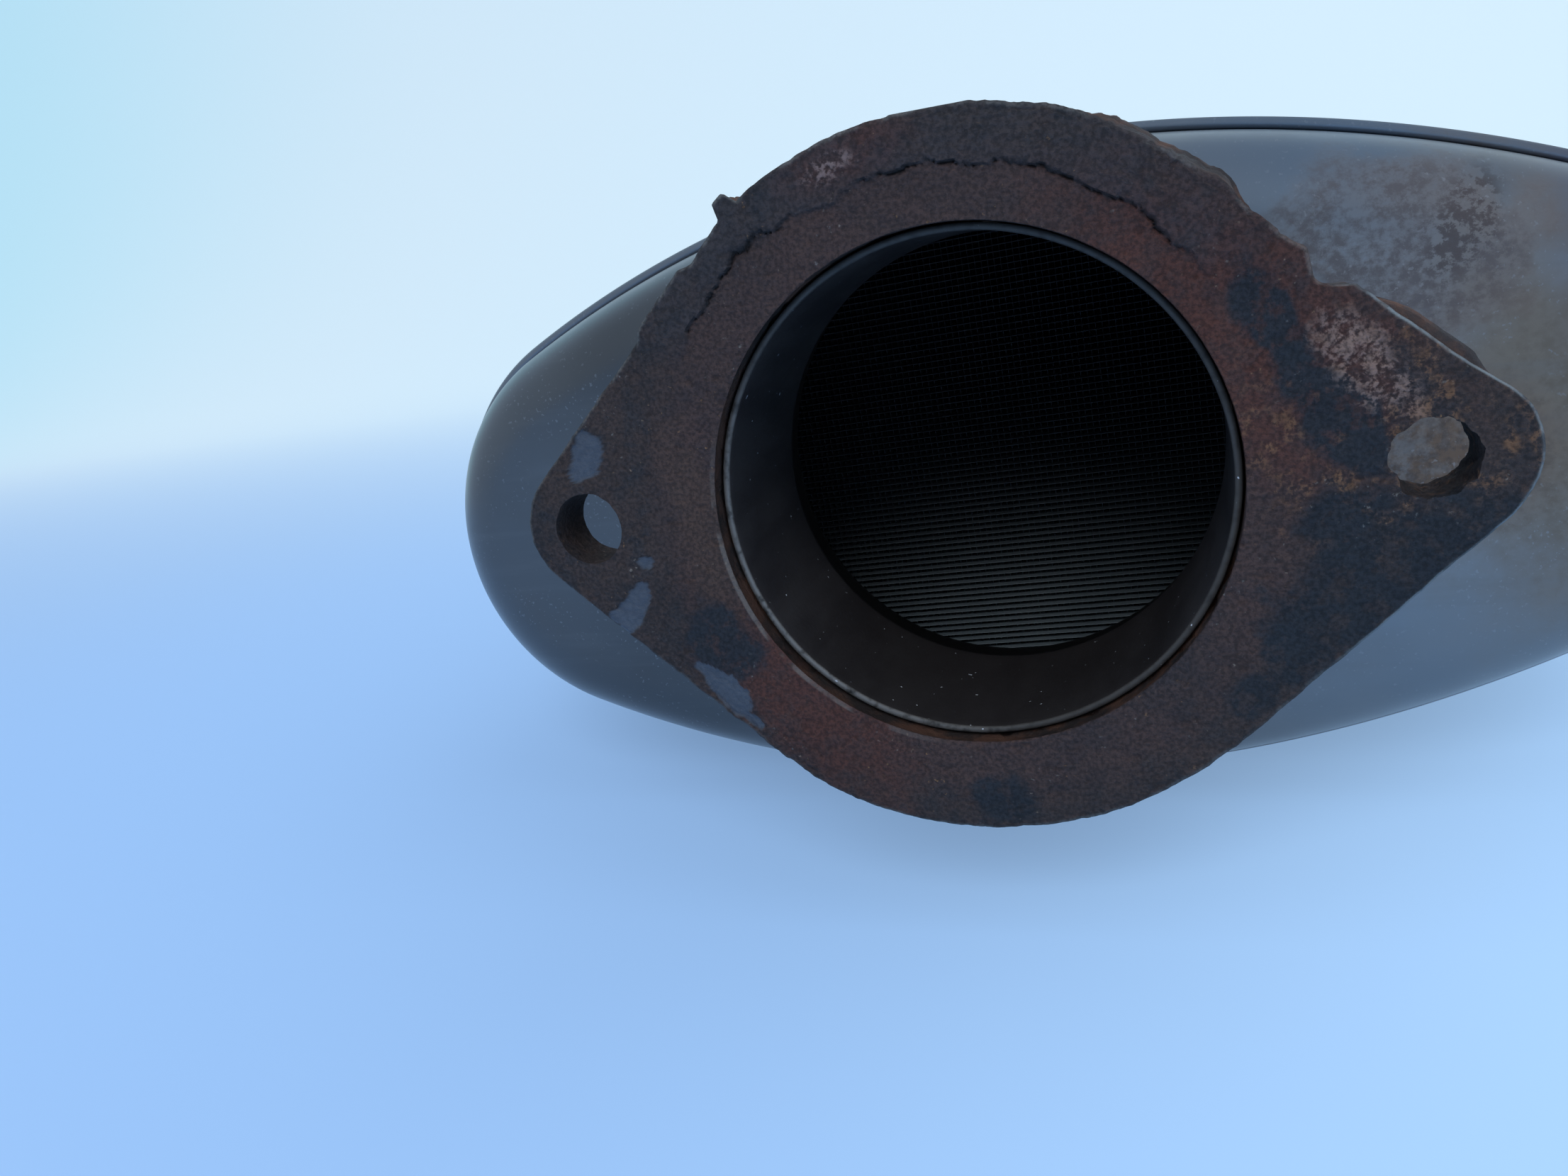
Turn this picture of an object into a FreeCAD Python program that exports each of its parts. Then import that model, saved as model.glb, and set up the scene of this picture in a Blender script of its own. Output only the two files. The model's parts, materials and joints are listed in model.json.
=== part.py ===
import FreeCAD, Part
import math
import os
from FreeCAD import Vector

# Catalytic converter: a two-brick oval can between two round pipe stubs with two-bolt flanges.
# Frame: origin at the centre of the inlet bore on the inlet flange's mating face, +Y along the
# gas flow into the converter, +X along the inlet's bolt-hole line, +Z up. Millimetres.
# The outlet end repeats the inlet end, mirrored about the middle of the can.

# ---- driving dimensions: pipe and flange ------------------------------------------------------
PIPE_OUTER_D = 55.0        # exhaust pipe
PIPE_WALL = 0.8
PIPE_CLEARANCE = 0.15      # radial, pipe in flange bore and in cap neck
PIPE_RECESS = 2.6          # pipe end behind the flange's mating face
PIPE_INSERTION = 11.4      # length of pipe inside the cap's neck
FLANGE_THICKNESS = 7.5
FLANGE_ROUND_R = 37.8      # round middle of the flange
BORE_MOUTH_CHAMFER = 0.35
BOLT_SPACING = 88.0
BOLT_HOLE_D = 8.4          # M8 clearance
LOBE_R = 8.0               # rounded ears round the bolt holes
NECK_STANDOFF = 8.0        # flange back to the mouth of the cap's neck

# ---- driving dimensions: bite eaten out of the inlet flange's upper right shoulder ---------------
BITE_INNER_X = 34.2        # deepest corner of the bite
BITE_INNER_Z = 16.9
BITE_LENGTH = 9.6          # along the bolt-hole line
BITE_LEAN_DEG = 6.0        # how far each side of the bite leans outwards
BITE_CORNER_R = 1.6

# ---- driving dimensions: end cap ---------------------------------------------------------------
CAP_WALL = 1.5
NECK_RUN = 4.4             # neck beyond the pipe's inner end, up to the flare
FLARE_R = 3.0              # outside radius, neck to face
SHOULDER_R = 10.0          # outside radius, face to skirt
CAP_SKIRT = 13.0           # straight rim behind the shoulder
LAP_SETBACK = 0.8          # shoulder's end to the edge of the can's shell
LAP_CLEARANCE = 0.1        # cap skirt inside the shell

# ---- driving dimensions: can, bricks and mats -----------------------------------------------------
BRICK_WIDTH = 169.7
BRICK_HEIGHT = 80.8
BRICK_END_R = 27.9         # radius of the oval's narrow ends
BRICK_LENGTH = 76.2
BRICK_SKIN = 0.6
BRICK_SETBACK = 31.4       # end of the cap's shoulder to the brick's face
BRICK_GAP = 12.0
CELL_PITCH = 1.037         # 600 cells per square inch
CELL_WALL = 0.11
MAT_THICKNESS = 3.0
SEAL_LENGTH = 5.0          # knitted wire seal at each end of a mat
SHELL_WALL = 1.5
BEAD_WIDTH = 9.0           # rolled stop bead between the bricks
BEAD_DEPTH = 2.5
CAN_DROP = 7.0             # can's centre below the bore's axis
CAN_SHIFT = 1.5            # can's centre to the left of the bore's axis
CAN_CLOCKING_DEG = 1.8     # can turned about the bore's axis against the bolt-hole line

# ---- driving dimensions: welds -------------------------------------------------------------------
FLANGE_WELD_LEG = 4.0
NECK_WELD_LEG = 3.0
SEAM_WELD_WIDTH = 4.0
SEAM_WELD_HEIGHT = 0.5
SEAM_WELD_ROOT = 1.2       # gap between the wrap's edges, filled by the weld

# ---- sizes worked out ------------------------------------------------------------------------------
PIPE_R = PIPE_OUTER_D / 2
PIPE_BORE_R = PIPE_R - PIPE_WALL
BORE_R = PIPE_R + PIPE_CLEARANCE
NECK_OUTER_R = BORE_R + CAP_WALL

NECK_MOUTH_Y = FLANGE_THICKNESS + NECK_STANDOFF
PIPE_END_Y = NECK_MOUTH_Y + PIPE_INSERTION
FLARE_START_Y = PIPE_END_Y + NECK_RUN
CAP_FACE_Y = FLARE_START_Y + FLARE_R
SHOULDER_END_Y = CAP_FACE_Y + SHOULDER_R
CAP_END_Y = SHOULDER_END_Y + CAP_SKIRT
SHELL_EDGE_Y = SHOULDER_END_Y + LAP_SETBACK
BRICK_FACE_Y = SHOULDER_END_Y + BRICK_SETBACK
MIDDLE_Y = BRICK_FACE_Y + BRICK_LENGTH + BRICK_GAP / 2

SHELL_INNER_GROWTH = MAT_THICKNESS             # growth of the brick's oval, radially
SHELL_OUTER_GROWTH = MAT_THICKNESS + SHELL_WALL
CAP_OUTER_GROWTH = SHELL_INNER_GROWTH - LAP_CLEARANCE
CAP_INNER_GROWTH = CAP_OUTER_GROWTH - CAP_WALL

Y_AXIS = Vector(0, 1, 0)
ORIGIN = Vector(0, 0, 0)


# ---- helpers -----------------------------------------------------------------------------------------
def cylinder(radius, y0, y1, x=0.0, z=0.0):
    return Part.makeCylinder(radius, y1 - y0, Vector(x, y0, z), Y_AXIS)


def tube(outer_r, inner_r, y0, y1):
    return cylinder(outer_r, y0, y1).cut(cylinder(inner_r, y0, y1))


def oval_arcs(growth):
    """Half sizes, end arcs' radius and centre, flat arcs' radius and centre of the brick's oval, grown."""
    half_w = BRICK_WIDTH / 2 + growth
    half_h = BRICK_HEIGHT / 2 + growth
    end_r = BRICK_END_R + growth
    end_x = half_w - end_r
    flat_r = (end_x ** 2 + half_h ** 2 - end_r ** 2) / (2 * (half_h - end_r))
    flat_z = flat_r - half_h                   # flat arcs' centres lie this far past the middle
    return half_w, half_h, end_r, end_x, flat_r, flat_z


def half_chord(height, growth):
    """Half the oval's width at a height above or below its middle."""
    half_w, half_h, end_r, end_x, flat_r, flat_z = oval_arcs(growth)
    joint_z = end_r * math.sin(math.atan2(flat_z, end_x))
    if abs(height) < joint_z:
        return end_x + math.sqrt(end_r ** 2 - height ** 2)
    return math.sqrt(flat_r ** 2 - (abs(height) + flat_z) ** 2)


def oval_face(growth, y):
    """The brick's oval grown by an even margin: two end arcs and two flat arcs, all tangent."""
    half_w, half_h, end_r, end_x, flat_r, flat_z = oval_arcs(growth)
    lean = math.atan2(flat_z, end_x)           # where an end arc meets a flat arc
    joint = Vector(end_x + end_r * math.cos(lean), 0, end_r * math.sin(lean))
    centre = Vector(-CAN_SHIFT, y, -CAN_DROP)
    corners = [centre + Vector(sx * joint.x, 0, sz * joint.z)
               for sx, sz in ((1, -1), (1, 1), (-1, 1), (-1, -1))]
    tips = [centre + Vector(half_w, 0, 0), centre + Vector(0, 0, half_h),
            centre + Vector(-half_w, 0, 0), centre + Vector(0, 0, -half_h)]
    edges = [Part.Arc(corners[i], tips[i], corners[(i + 1) % 4]).toShape() for i in range(4)]
    return Part.Face(Part.Wire(edges))


def oval_block(growth, y0, y1):
    return oval_face(growth, y0).extrude(Vector(0, y1 - y0, 0))


def oval_ring(outer_growth, inner_growth, y0, y1):
    return oval_block(outer_growth, y0, y1).cut(oval_block(inner_growth, y0, y1))


def edges_at(shape, y, tolerance=1e-4):
    """The edges of a shape that lie wholly in the plane at y."""
    return [e for e in shape.Edges
            if abs(e.BoundBox.YMin - y) < tolerance and abs(e.BoundBox.YMax - y) < tolerance]


def clocked(shape):
    """A piece of the can, turned about the bore's axis as the can is."""
    turned = shape.copy()
    turned.rotate(ORIGIN, Y_AXIS, -CAN_CLOCKING_DEG)
    return turned


def at_outlet(shape):
    """The outlet end's copy of a piece of the inlet end."""
    return shape.mirror(Vector(0, MIDDLE_Y, 0), Y_AXIS)


# ---- flanges -------------------------------------------------------------------------------------------
def flange_outline():
    """Round middle and two ears, joined by straight tangents."""
    reach = BOLT_SPACING / 2
    lean = math.acos((FLANGE_ROUND_R - LOBE_R) / reach)

    def on_round(angle):
        return Vector(FLANGE_ROUND_R * math.cos(angle), 0, FLANGE_ROUND_R * math.sin(angle))

    def on_ear(side, angle):
        return Vector(side * (reach + LOBE_R * math.cos(angle)), 0, LOBE_R * math.sin(angle))

    edges = [
        Part.Arc(on_ear(1, -lean), on_ear(1, 0), on_ear(1, lean)).toShape(),
        Part.LineSegment(on_ear(1, lean), on_round(lean)).toShape(),
        Part.Arc(on_round(lean), on_round(math.pi / 2), on_round(math.pi - lean)).toShape(),
        Part.LineSegment(on_round(math.pi - lean), on_ear(-1, lean)).toShape(),
        Part.Arc(on_ear(-1, lean), on_ear(-1, 0), on_ear(-1, -lean)).toShape(),
        Part.LineSegment(on_ear(-1, -lean), on_round(math.pi + lean)).toShape(),
        Part.Arc(on_round(math.pi + lean), on_round(-math.pi / 2), on_round(-lean)).toShape(),
        Part.LineSegment(on_round(-lean), on_ear(1, -lean)).toShape(),
    ]
    return Part.Wire(edges)


def flange():
    plate = Part.Face(flange_outline()).extrude(Vector(0, FLANGE_THICKNESS, 0))
    plate = plate.cut(cylinder(BORE_R, 0, FLANGE_THICKNESS))
    mouth = Part.makeCone(BORE_R + BORE_MOUTH_CHAMFER, BORE_R, BORE_MOUTH_CHAMFER, ORIGIN, Y_AXIS)
    plate = plate.cut(mouth)
    for side in (-1, 1):
        hole = cylinder(BOLT_HOLE_D / 2, 0, FLANGE_THICKNESS, side * BOLT_SPACING / 2)
        plate = plate.cut(hole)
    return plate


def bite():
    """The wedge that rust has taken out of the inlet flange between its round middle and an ear."""
    lean = math.radians(BITE_LEAN_DEG)
    clear = FLANGE_ROUND_R                     # far enough to pass the outline
    corner = Vector(BITE_INNER_X, 0, BITE_INNER_Z)
    foot = corner + Vector(BITE_LENGTH * math.cos(lean), 0, -BITE_LENGTH * math.sin(lean))
    out_foot = foot + Vector(clear * math.cos(math.pi / 4), 0, clear * math.sin(math.pi / 4))
    out_top = corner + Vector(-clear * math.sin(lean), 0, clear * math.cos(lean))
    wedge = Part.Face(Part.makePolygon([corner, foot, out_foot, out_top, corner]))
    wedge = wedge.extrude(Vector(0, FLANGE_THICKNESS, 0))
    upright = [e for e in wedge.Edges
               if abs(e.CenterOfMass.x - corner.x) < 1e-6 and abs(e.CenterOfMass.z - corner.z) < 1e-6]
    return wedge.makeFillet(BITE_CORNER_R, upright)


def inlet_flange():
    return flange().cut(bite())


# ---- pipes and welds --------------------------------------------------------------------------------------
def pipe():
    return tube(PIPE_R, PIPE_BORE_R, PIPE_RECESS, PIPE_END_Y)


def fillet_weld(leg_y, leg_r, y, direction):
    """A ring of weld in the corner between the pipe and a face square to it, flat across its throat."""
    root = Vector(PIPE_R, y, 0)
    foot = Vector(PIPE_R + leg_r, y, 0)
    tip = Vector(PIPE_R, y + direction * leg_y, 0)
    section = Part.Face(Part.makePolygon([root, foot, tip, root]))
    return section.revolve(ORIGIN, Y_AXIS, 360)


def flange_weld():
    return fillet_weld(FLANGE_WELD_LEG, FLANGE_WELD_LEG, FLANGE_THICKNESS, 1)


def neck_weld():
    return fillet_weld(NECK_WELD_LEG, NECK_OUTER_R - PIPE_R, NECK_MOUTH_Y, -1)


# ---- end caps ---------------------------------------------------------------------------------------------
def cap_body(growth, face_y, neck_r, shoulder_r, flare_r):
    """A round neck that flares into a flat oval face, rounded over into a straight skirt."""
    body = oval_block(growth, face_y, CAP_END_Y)
    body = body.makeFillet(shoulder_r, edges_at(body, face_y))
    body = body.fuse(cylinder(neck_r, NECK_MOUTH_Y, face_y + shoulder_r)).removeSplitter()
    foot = [e for e in body.Edges
            if e.BoundBox.YMax < face_y + shoulder_r and e.BoundBox.YMin > face_y - 1e-4
            and abs(math.hypot(e.valueAt(e.FirstParameter).x, e.valueAt(e.FirstParameter).z) - neck_r) < 1e-3]
    return body.makeFillet(flare_r, foot)


def end_cap():
    outside = cap_body(CAP_OUTER_GROWTH, CAP_FACE_Y, NECK_OUTER_R, SHOULDER_R, FLARE_R)
    inside = cap_body(CAP_INNER_GROWTH, CAP_FACE_Y + CAP_WALL, BORE_R,
                      SHOULDER_R - CAP_WALL, FLARE_R + CAP_WALL)
    return clocked(outside.cut(inside))


# ---- can, bricks, mats ------------------------------------------------------------------------------------
def waisted_block(growth, bead_widening):
    """An oval block as long as the shell, waisted by the stop bead, whose flanks lie at 45 degrees."""
    half = BEAD_WIDTH / 2 + bead_widening
    stations = [(SHELL_EDGE_Y - MIDDLE_Y, 0), (-half, 0), (-half + BEAD_DEPTH, -BEAD_DEPTH),
                (half - BEAD_DEPTH, -BEAD_DEPTH), (half, 0), (MIDDLE_Y - SHELL_EDGE_Y, 0)]
    slabs = []
    for (y0, waist0), (y1, waist1) in zip(stations, stations[1:]):
        ends = [oval_face(growth + waist0, MIDDLE_Y + y0), oval_face(growth + waist1, MIDDLE_Y + y1)]
        slabs.append(Part.makeLoft([end.OuterWire for end in ends], True, True))
    return slabs[0].multiFuse(slabs[1:]).removeSplitter()


def bead_shift(depth_below_outside):
    """A surface this far under the shell's outside has a bead wider by this much on each side."""
    return depth_below_outside * math.tan(math.pi / 8)


def top_slab(width):
    """An upright slab over the middle of the can's top, as long as the shell."""
    length = 2 * (MIDDLE_Y - SHELL_EDGE_Y)
    corner = Vector(-CAN_SHIFT - width / 2, SHELL_EDGE_Y, -CAN_DROP)
    return Part.makeBox(width, length, BRICK_HEIGHT, corner)


def wrapped_shell():
    """The oval wrap before its long weld: outside less inside."""
    outside = waisted_block(SHELL_OUTER_GROWTH, 0)
    return outside.cut(waisted_block(SHELL_INNER_GROWTH, bead_shift(SHELL_WALL)))


def seam_weld():
    """The long butt weld that closes the wrap on top: its root in the gap and its crown over it."""
    crown = waisted_block(SHELL_OUTER_GROWTH + SEAM_WELD_HEIGHT, -bead_shift(SEAM_WELD_HEIGHT))
    crown = crown.common(top_slab(SEAM_WELD_WIDTH)).cut(waisted_block(SHELL_OUTER_GROWTH, 0))
    root = wrapped_shell().common(top_slab(SEAM_WELD_ROOT))
    return clocked(crown.fuse(root).removeSplitter())


def can_shell():
    return clocked(wrapped_shell().cut(top_slab(SEAM_WELD_ROOT)))


def brick(y0):
    """An extruded honeycomb block; the rows of cells are open from end to end."""
    opening = CELL_PITCH - CELL_WALL
    rows = int((BRICK_HEIGHT - 2 * BRICK_SKIN) / CELL_PITCH) - 1
    slots = []
    for row in range(rows):
        height = (row - (rows - 1) / 2) * CELL_PITCH
        reach = half_chord(abs(height) + opening / 2, -BRICK_SKIN)
        corner = Vector(-CAN_SHIFT - reach, y0, height - CAN_DROP - opening / 2)
        slots.append(Part.makeBox(2 * reach, BRICK_LENGTH, opening, corner))
    block = oval_block(0, y0, y0 + BRICK_LENGTH)
    return clocked(block.cut(Part.makeCompound(slots)))


def mat(y0):
    return clocked(oval_ring(SHELL_INNER_GROWTH, 0, y0 + SEAL_LENGTH, y0 + BRICK_LENGTH - SEAL_LENGTH))


def seal(y0):
    return clocked(oval_ring(SHELL_INNER_GROWTH, 0, y0, y0 + SEAL_LENGTH))


# ---- pieces -------------------------------------------------------------------------------------------------
def pieces():
    front_y = BRICK_FACE_Y
    rear_y = BRICK_FACE_Y + BRICK_LENGTH + BRICK_GAP
    parts = {
        "inlet_flange": inlet_flange(),
        "inlet_pipe": pipe(),
        "inlet_flange_weld": flange_weld(),
        "inlet_neck_weld": neck_weld(),
        "inlet_end_cap": end_cap(),
        "can_shell": can_shell(),
        "can_seam_weld": seam_weld(),
        "outlet_flange": at_outlet(flange()),
        "outlet_pipe": at_outlet(pipe()),
        "outlet_flange_weld": at_outlet(flange_weld()),
        "outlet_neck_weld": at_outlet(neck_weld()),
        "outlet_end_cap": at_outlet(end_cap()),
    }
    for name, y0 in (("front", front_y), ("rear", rear_y)):
        parts[name + "_monolith"] = brick(y0)
        parts[name + "_mat"] = mat(y0)
        parts[name + "_mat_upstream_seal"] = seal(y0)
        parts[name + "_mat_downstream_seal"] = seal(y0 + BRICK_LENGTH - SEAL_LENGTH)
    return parts


os.makedirs("parts", exist_ok=True)
for node, shape in pieces().items():
    solid = shape.Solids[0] if len(shape.Solids) == 1 else shape
    print("%-30s %s solids %d valid %s volume %.1f" % (
        node, solid.ShapeType, len(shape.Solids), shape.isValid(), shape.Volume))
    solid.exportStep("parts/%s.step" % node)
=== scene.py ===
import json
import math

import bpy
import numpy as np
from mathutils import Matrix, Vector


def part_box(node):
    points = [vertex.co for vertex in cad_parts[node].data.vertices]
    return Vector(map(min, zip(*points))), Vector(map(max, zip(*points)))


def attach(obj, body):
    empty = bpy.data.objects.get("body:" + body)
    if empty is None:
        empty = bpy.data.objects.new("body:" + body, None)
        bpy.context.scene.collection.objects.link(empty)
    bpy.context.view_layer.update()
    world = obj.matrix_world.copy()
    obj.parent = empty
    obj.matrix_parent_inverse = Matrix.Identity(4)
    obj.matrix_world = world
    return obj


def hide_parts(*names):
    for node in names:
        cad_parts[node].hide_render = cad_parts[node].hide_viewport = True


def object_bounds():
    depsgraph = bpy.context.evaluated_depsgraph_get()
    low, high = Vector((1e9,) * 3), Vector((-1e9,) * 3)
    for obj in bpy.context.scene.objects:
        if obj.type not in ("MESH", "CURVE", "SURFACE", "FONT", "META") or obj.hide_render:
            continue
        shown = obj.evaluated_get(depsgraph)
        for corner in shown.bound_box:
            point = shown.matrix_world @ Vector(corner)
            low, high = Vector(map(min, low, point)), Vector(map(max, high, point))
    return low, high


# Looks of an old catalytic converter, built round its packed construction model. Lengths in this
# script are millimetres, which turn to metres as a mesh is made; lights and camera are in metres.

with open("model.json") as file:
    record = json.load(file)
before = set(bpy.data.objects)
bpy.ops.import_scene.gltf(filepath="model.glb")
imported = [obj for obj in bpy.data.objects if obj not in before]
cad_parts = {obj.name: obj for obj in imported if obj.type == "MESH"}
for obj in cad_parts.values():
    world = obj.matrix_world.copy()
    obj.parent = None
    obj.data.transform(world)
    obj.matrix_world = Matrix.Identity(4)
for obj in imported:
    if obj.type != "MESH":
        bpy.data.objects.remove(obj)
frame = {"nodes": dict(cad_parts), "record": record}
cad_low, cad_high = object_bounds()
MM = 0.001


# ---- sizes read from the construction model ----
def low(node):
    return np.array(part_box(node)[0]) / MM


def high(node):
    return np.array(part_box(node)[1]) / MM


def mount(name):
    return next(m for m in frame["record"]["mounts"] if m["name"] == name)


BOLTS = mount("inlet_bolts")["dims"]
BOLT_REACH = BOLTS["spacing_x_mm"] / 2
BOLT_HOLE_R = BOLTS["hole_r_mm"]
FLANGE_BACK = high("inlet_flange")[1]
FLANGE_ROUND_R = high("inlet_flange")[2]
LOBE_R = high("inlet_flange")[0] - BOLT_REACH
PIPE_R = high("inlet_pipe")[0]
PIPE_FRONT, PIPE_END = low("inlet_pipe")[1], high("inlet_pipe")[1]
NECK_MOUTH, CAP_END = low("inlet_end_cap")[1], high("inlet_end_cap")[1]
SHELL_FRONT, SHELL_BACK = low("can_shell")[1], high("can_shell")[1]
MIDDLE_Y = (SHELL_FRONT + SHELL_BACK) / 2
FLOOR_Z = min(low(node)[2] for node in frame["nodes"])

# ---- sizes that the boxes don't show ----
PIPE_WALL = 0.8
BORE_R = PIPE_R + 0.15          # the pipe's fit in the flange and the neck
SHEET_WALL = 1.5                # cap and shell
NECK_R = BORE_R + SHEET_WALL
FLARE_R, SHOULDER_R = 3.0, 10.0
CAP_FACE = 34.3
OVAL_WIDTH, OVAL_HEIGHT, OVAL_END_R = 169.7, 80.8, 27.9
MAT_THICKNESS = 3.0
CAP_CLEARANCE, SHELL_CLEARANCE = 0.1, 0.02      # how far each stays inside its solid
CAN_DROP, CAN_SHIFT, CAN_CLOCKING = 7.0, 1.5, math.radians(1.8)
CELL_PITCH, CELL_WALL = 1.037, 0.12
CELL_RECESS = 1.8               # how far the upright walls end behind the level ones
BRICK_SKIN = 0.6
BITE_CORNER, BITE_LEAN, BITE_ROUNDING = (34.2, 16.9), math.radians(6.0), 0.8
BEAD_WIDTH, BEAD_DEPTH = 9.0, 2.5
SEAM_HALF_WIDTH, SEAM_CROWN, SEAM_RIPPLE = 1.75, 0.48, 1.3
FLANGE_WELD_LEG, FLANGE_WELD_RIPPLES = 4.0, 58
NECK_WELD_LEG, NECK_WELD_RIPPLES = 3.0, 66
RIPPLE_DEPTH, LUMP_HEIGHT = 0.32, 0.14
RIM_WEAR = 0.04                 # of the pipes

# ---- how finely the grids are drawn ----
CAP_SECTIONS, SHELL_SECTIONS, BRICK_SECTIONS = 720, 560, 400
PIPE_SECTIONS, WELD_SECTIONS, FLANGE_SECTIONS = 480, 720, 1000
END_SPACING = 0.6               # share of an oval's points that its end arcs get, by angle
END_CROWDING = 0.32             # how much a cap's sections crowd towards the oval's ends
HALVINGS = 40                   # of an interval, when a distance is searched for

# ---- damage on the inlet flange ----
EDGE_R = 38.0                   # where noise along the edge is read
SWELLINGS = [                   # growth, from degree, to degree, fade in degrees
    (0.75, 62, 128, 10), (0.35, 42, 62, 4), (0.75, -11, 8, 4), (0.6, -48, -11, 5),
    (0.4, 205, 312, 8)]
FLAKES = [(1.7, 121.6, 124.8, 0.6), (0.9, 134.5, 148, 1.5)]      # as above
EDGE_STEPS = [(3.6, 0.13), (2.5, 0.15), (1.6, 0.17), (0.8, 0.22)]     # width from the edge, drop
EDGE_GROOVES = [(1.7, 61), (3.9, 62), (5.8, 63)]                  # y, seed
SCALED_OFF = [                  # x, z, half length, half width, turned by degrees
    (-42.7, 8.4, 3.4, 2.1, 55), (-40.0, -9.9, 3.6, 1.6, 50), (-30.3, -20.6, 4.2, 1.9, -50),
    (-37.6, -4.6, 1.0, 0.8, 0), (-42.6, -11.0, 1.2, 0.9, 0), (-27.4, -24.6, 1.4, 0.8, -40)]
STAINS = [                      # centre, half sizes, turned by degrees
    ((41, -11), (12.5, 5.6), 24), ((31.5, -19), (3.2, 3.4), 0), ((27.6, -22.8), (3.0, 2.2), 40),
    ((1.3, -34.6), (3.6, 2.6), -25), ((35.6, 4.8), (7.6, 3.0), -55), ((36, -4.5), (4.2, 2.4), 20),
    ((30, 15.5), (5.5, 2.4), -60), ((-29.5, -14.5), (4.0, 5), 40)]


# ---- numbers as fields ----
def smooth(low_edge, high_edge, value):
    """0 below the low edge, 1 above the high edge, and 3t^2 - 2t^3 between them."""
    t = np.clip((value - low_edge) / (high_edge - low_edge), 0, 1)
    return t * t * (3 - 2 * t)


def lattice(i, j, seed):
    """A repeatable number from 0 to 1 for each whole-number corner: the fraction of a long sine."""
    return np.modf(np.abs(np.sin(i * 127.1 + j * 311.7 + seed * 74.7) * 43758.5453))[0]


def noise(a, b, seed, octaves=4):
    """Corner numbers joined smoothly, then added at twice the frequency and half the height each
    time; about -1 to 1."""
    total, height, reach = 0.0, 1.0, 0.0
    for _ in range(octaves):
        i, j = np.floor(a), np.floor(b)
        u, v = a - i, b - j
        u, v = u * u * (3 - 2 * u), v * v * (3 - 2 * v)
        near = lattice(i, j, seed) * (1 - u) + lattice(i + 1, j, seed) * u
        far = lattice(i, j + 1, seed) * (1 - u) + lattice(i + 1, j + 1, seed) * u
        total = total + height * (2 * (near * (1 - v) + far * v) - 1)
        reach += height
        a, b, height, seed = a * 2 + 17.3, b * 2 - 9.1, height / 2, seed + 5
    return total / reach


def turned_window(angle, start, end, fade):
    """1 between two angles in degrees, 0 outside, with soft ends; angles run round the circle."""
    middle, half = (start + end) / 2, (end - start) / 2
    away = np.abs((np.degrees(angle) - middle + 180) % 360 - 180)
    return 1 - smooth(half - fade, half + fade, away)


# ---- meshes from grids ----
def points_at(x, y, z):
    """Points from three coordinates spread to one shape."""
    return np.stack(np.broadcast_arrays(x, y, z), -1)


def mesh_object(name, points, faces, smooth_shading=True):
    """An object at the origin from points in millimetres and a list of four-cornered faces."""
    mesh = bpy.data.meshes.new(name)
    mesh.from_pydata(np.asarray(points, float) * MM, [], faces)
    mesh.shade_smooth() if smooth_shading else mesh.shade_flat()
    mesh.update()
    piece = bpy.data.objects.new(name, mesh)
    bpy.context.scene.collection.objects.link(piece)
    return piece


def grid_faces(rows, columns, close_rows=True, close_columns=True):
    """The four-cornered faces of a rows x columns grid of points, closed round either way."""
    i = np.arange(rows if close_rows else rows - 1)[:, None]
    j = np.arange(columns if close_columns else columns - 1)[None, :]
    i_next, j_next = (i + 1) % rows, (j + 1) % columns
    corners = (i * columns + j, i_next * columns + j,
               i_next * columns + j_next, i * columns + j_next)
    return np.stack([np.broadcast_to(c, (i.size, j.size)) for c in corners], -1).reshape(-1, 4)


def grid_object(name, grid, close_rows=True, close_columns=True, flip=False):
    """A smooth surface through a grid of points, whose rows and columns may each run round."""
    faces = grid_faces(grid.shape[0], grid.shape[1], close_rows, close_columns)
    if flip:
        faces = faces[:, ::-1]
    return mesh_object(name, grid.reshape(-1, 3), faces)


def outward(piece):
    """Turns a closed piece's faces outwards if its volume, summed over them, is negative."""
    mesh = piece.data
    mesh.calc_loop_triangles()
    points = np.zeros(len(mesh.vertices) * 3)
    mesh.vertices.foreach_get("co", points)
    corners = np.zeros(len(mesh.loop_triangles) * 3, int)
    mesh.loop_triangles.foreach_get("vertices", corners)
    a, b, c = points.reshape(-1, 3)[corners.reshape(-1, 3)].transpose(1, 0, 2)
    if np.einsum("ij,ij->i", a, np.cross(b, c)).sum() < 0:
        mesh.flip_normals()
    return piece


def mirrored(points):
    """The outlet end's copy: y counted from the other end of the can."""
    return points * [1, -1, 1] + [0, 2 * MIDDLE_Y, 0]


def clocked(points):
    """Points turned about the bore's axis as the can is, its right-hand side upwards."""
    cos, sin = math.cos(CAN_CLOCKING), math.sin(CAN_CLOCKING)
    x, y, z = points[..., 0], points[..., 1], points[..., 2]
    return points_at(x * cos - z * sin, y, x * sin + z * cos)


def finish_piece(piece, material, slot_name, *nodes):
    """Gives a piece its material and its body, and lets it stand for its nodes; slot_name is not
    used.
    """
    piece.data.materials.clear()
    piece.data.materials.append(material)
    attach(piece, "root")
    if nodes:
        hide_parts(*nodes)
    return piece


# ---- the can's oval ----
def oval_arcs(growth):
    """Half width, half height, end radius, end centre, flat radius and flat centre of the oval
    grown outwards. The flat arc's radius is the one at which it meets the end arc smoothly."""
    half_w, half_h = OVAL_WIDTH / 2 + growth, OVAL_HEIGHT / 2 + growth
    end_r = OVAL_END_R + growth
    end_x = half_w - end_r
    flat_r = (end_x ** 2 + half_h ** 2 - end_r ** 2) / (2 * (half_h - end_r))
    return half_w, half_h, end_r, end_x, flat_r, flat_r - half_h


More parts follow.
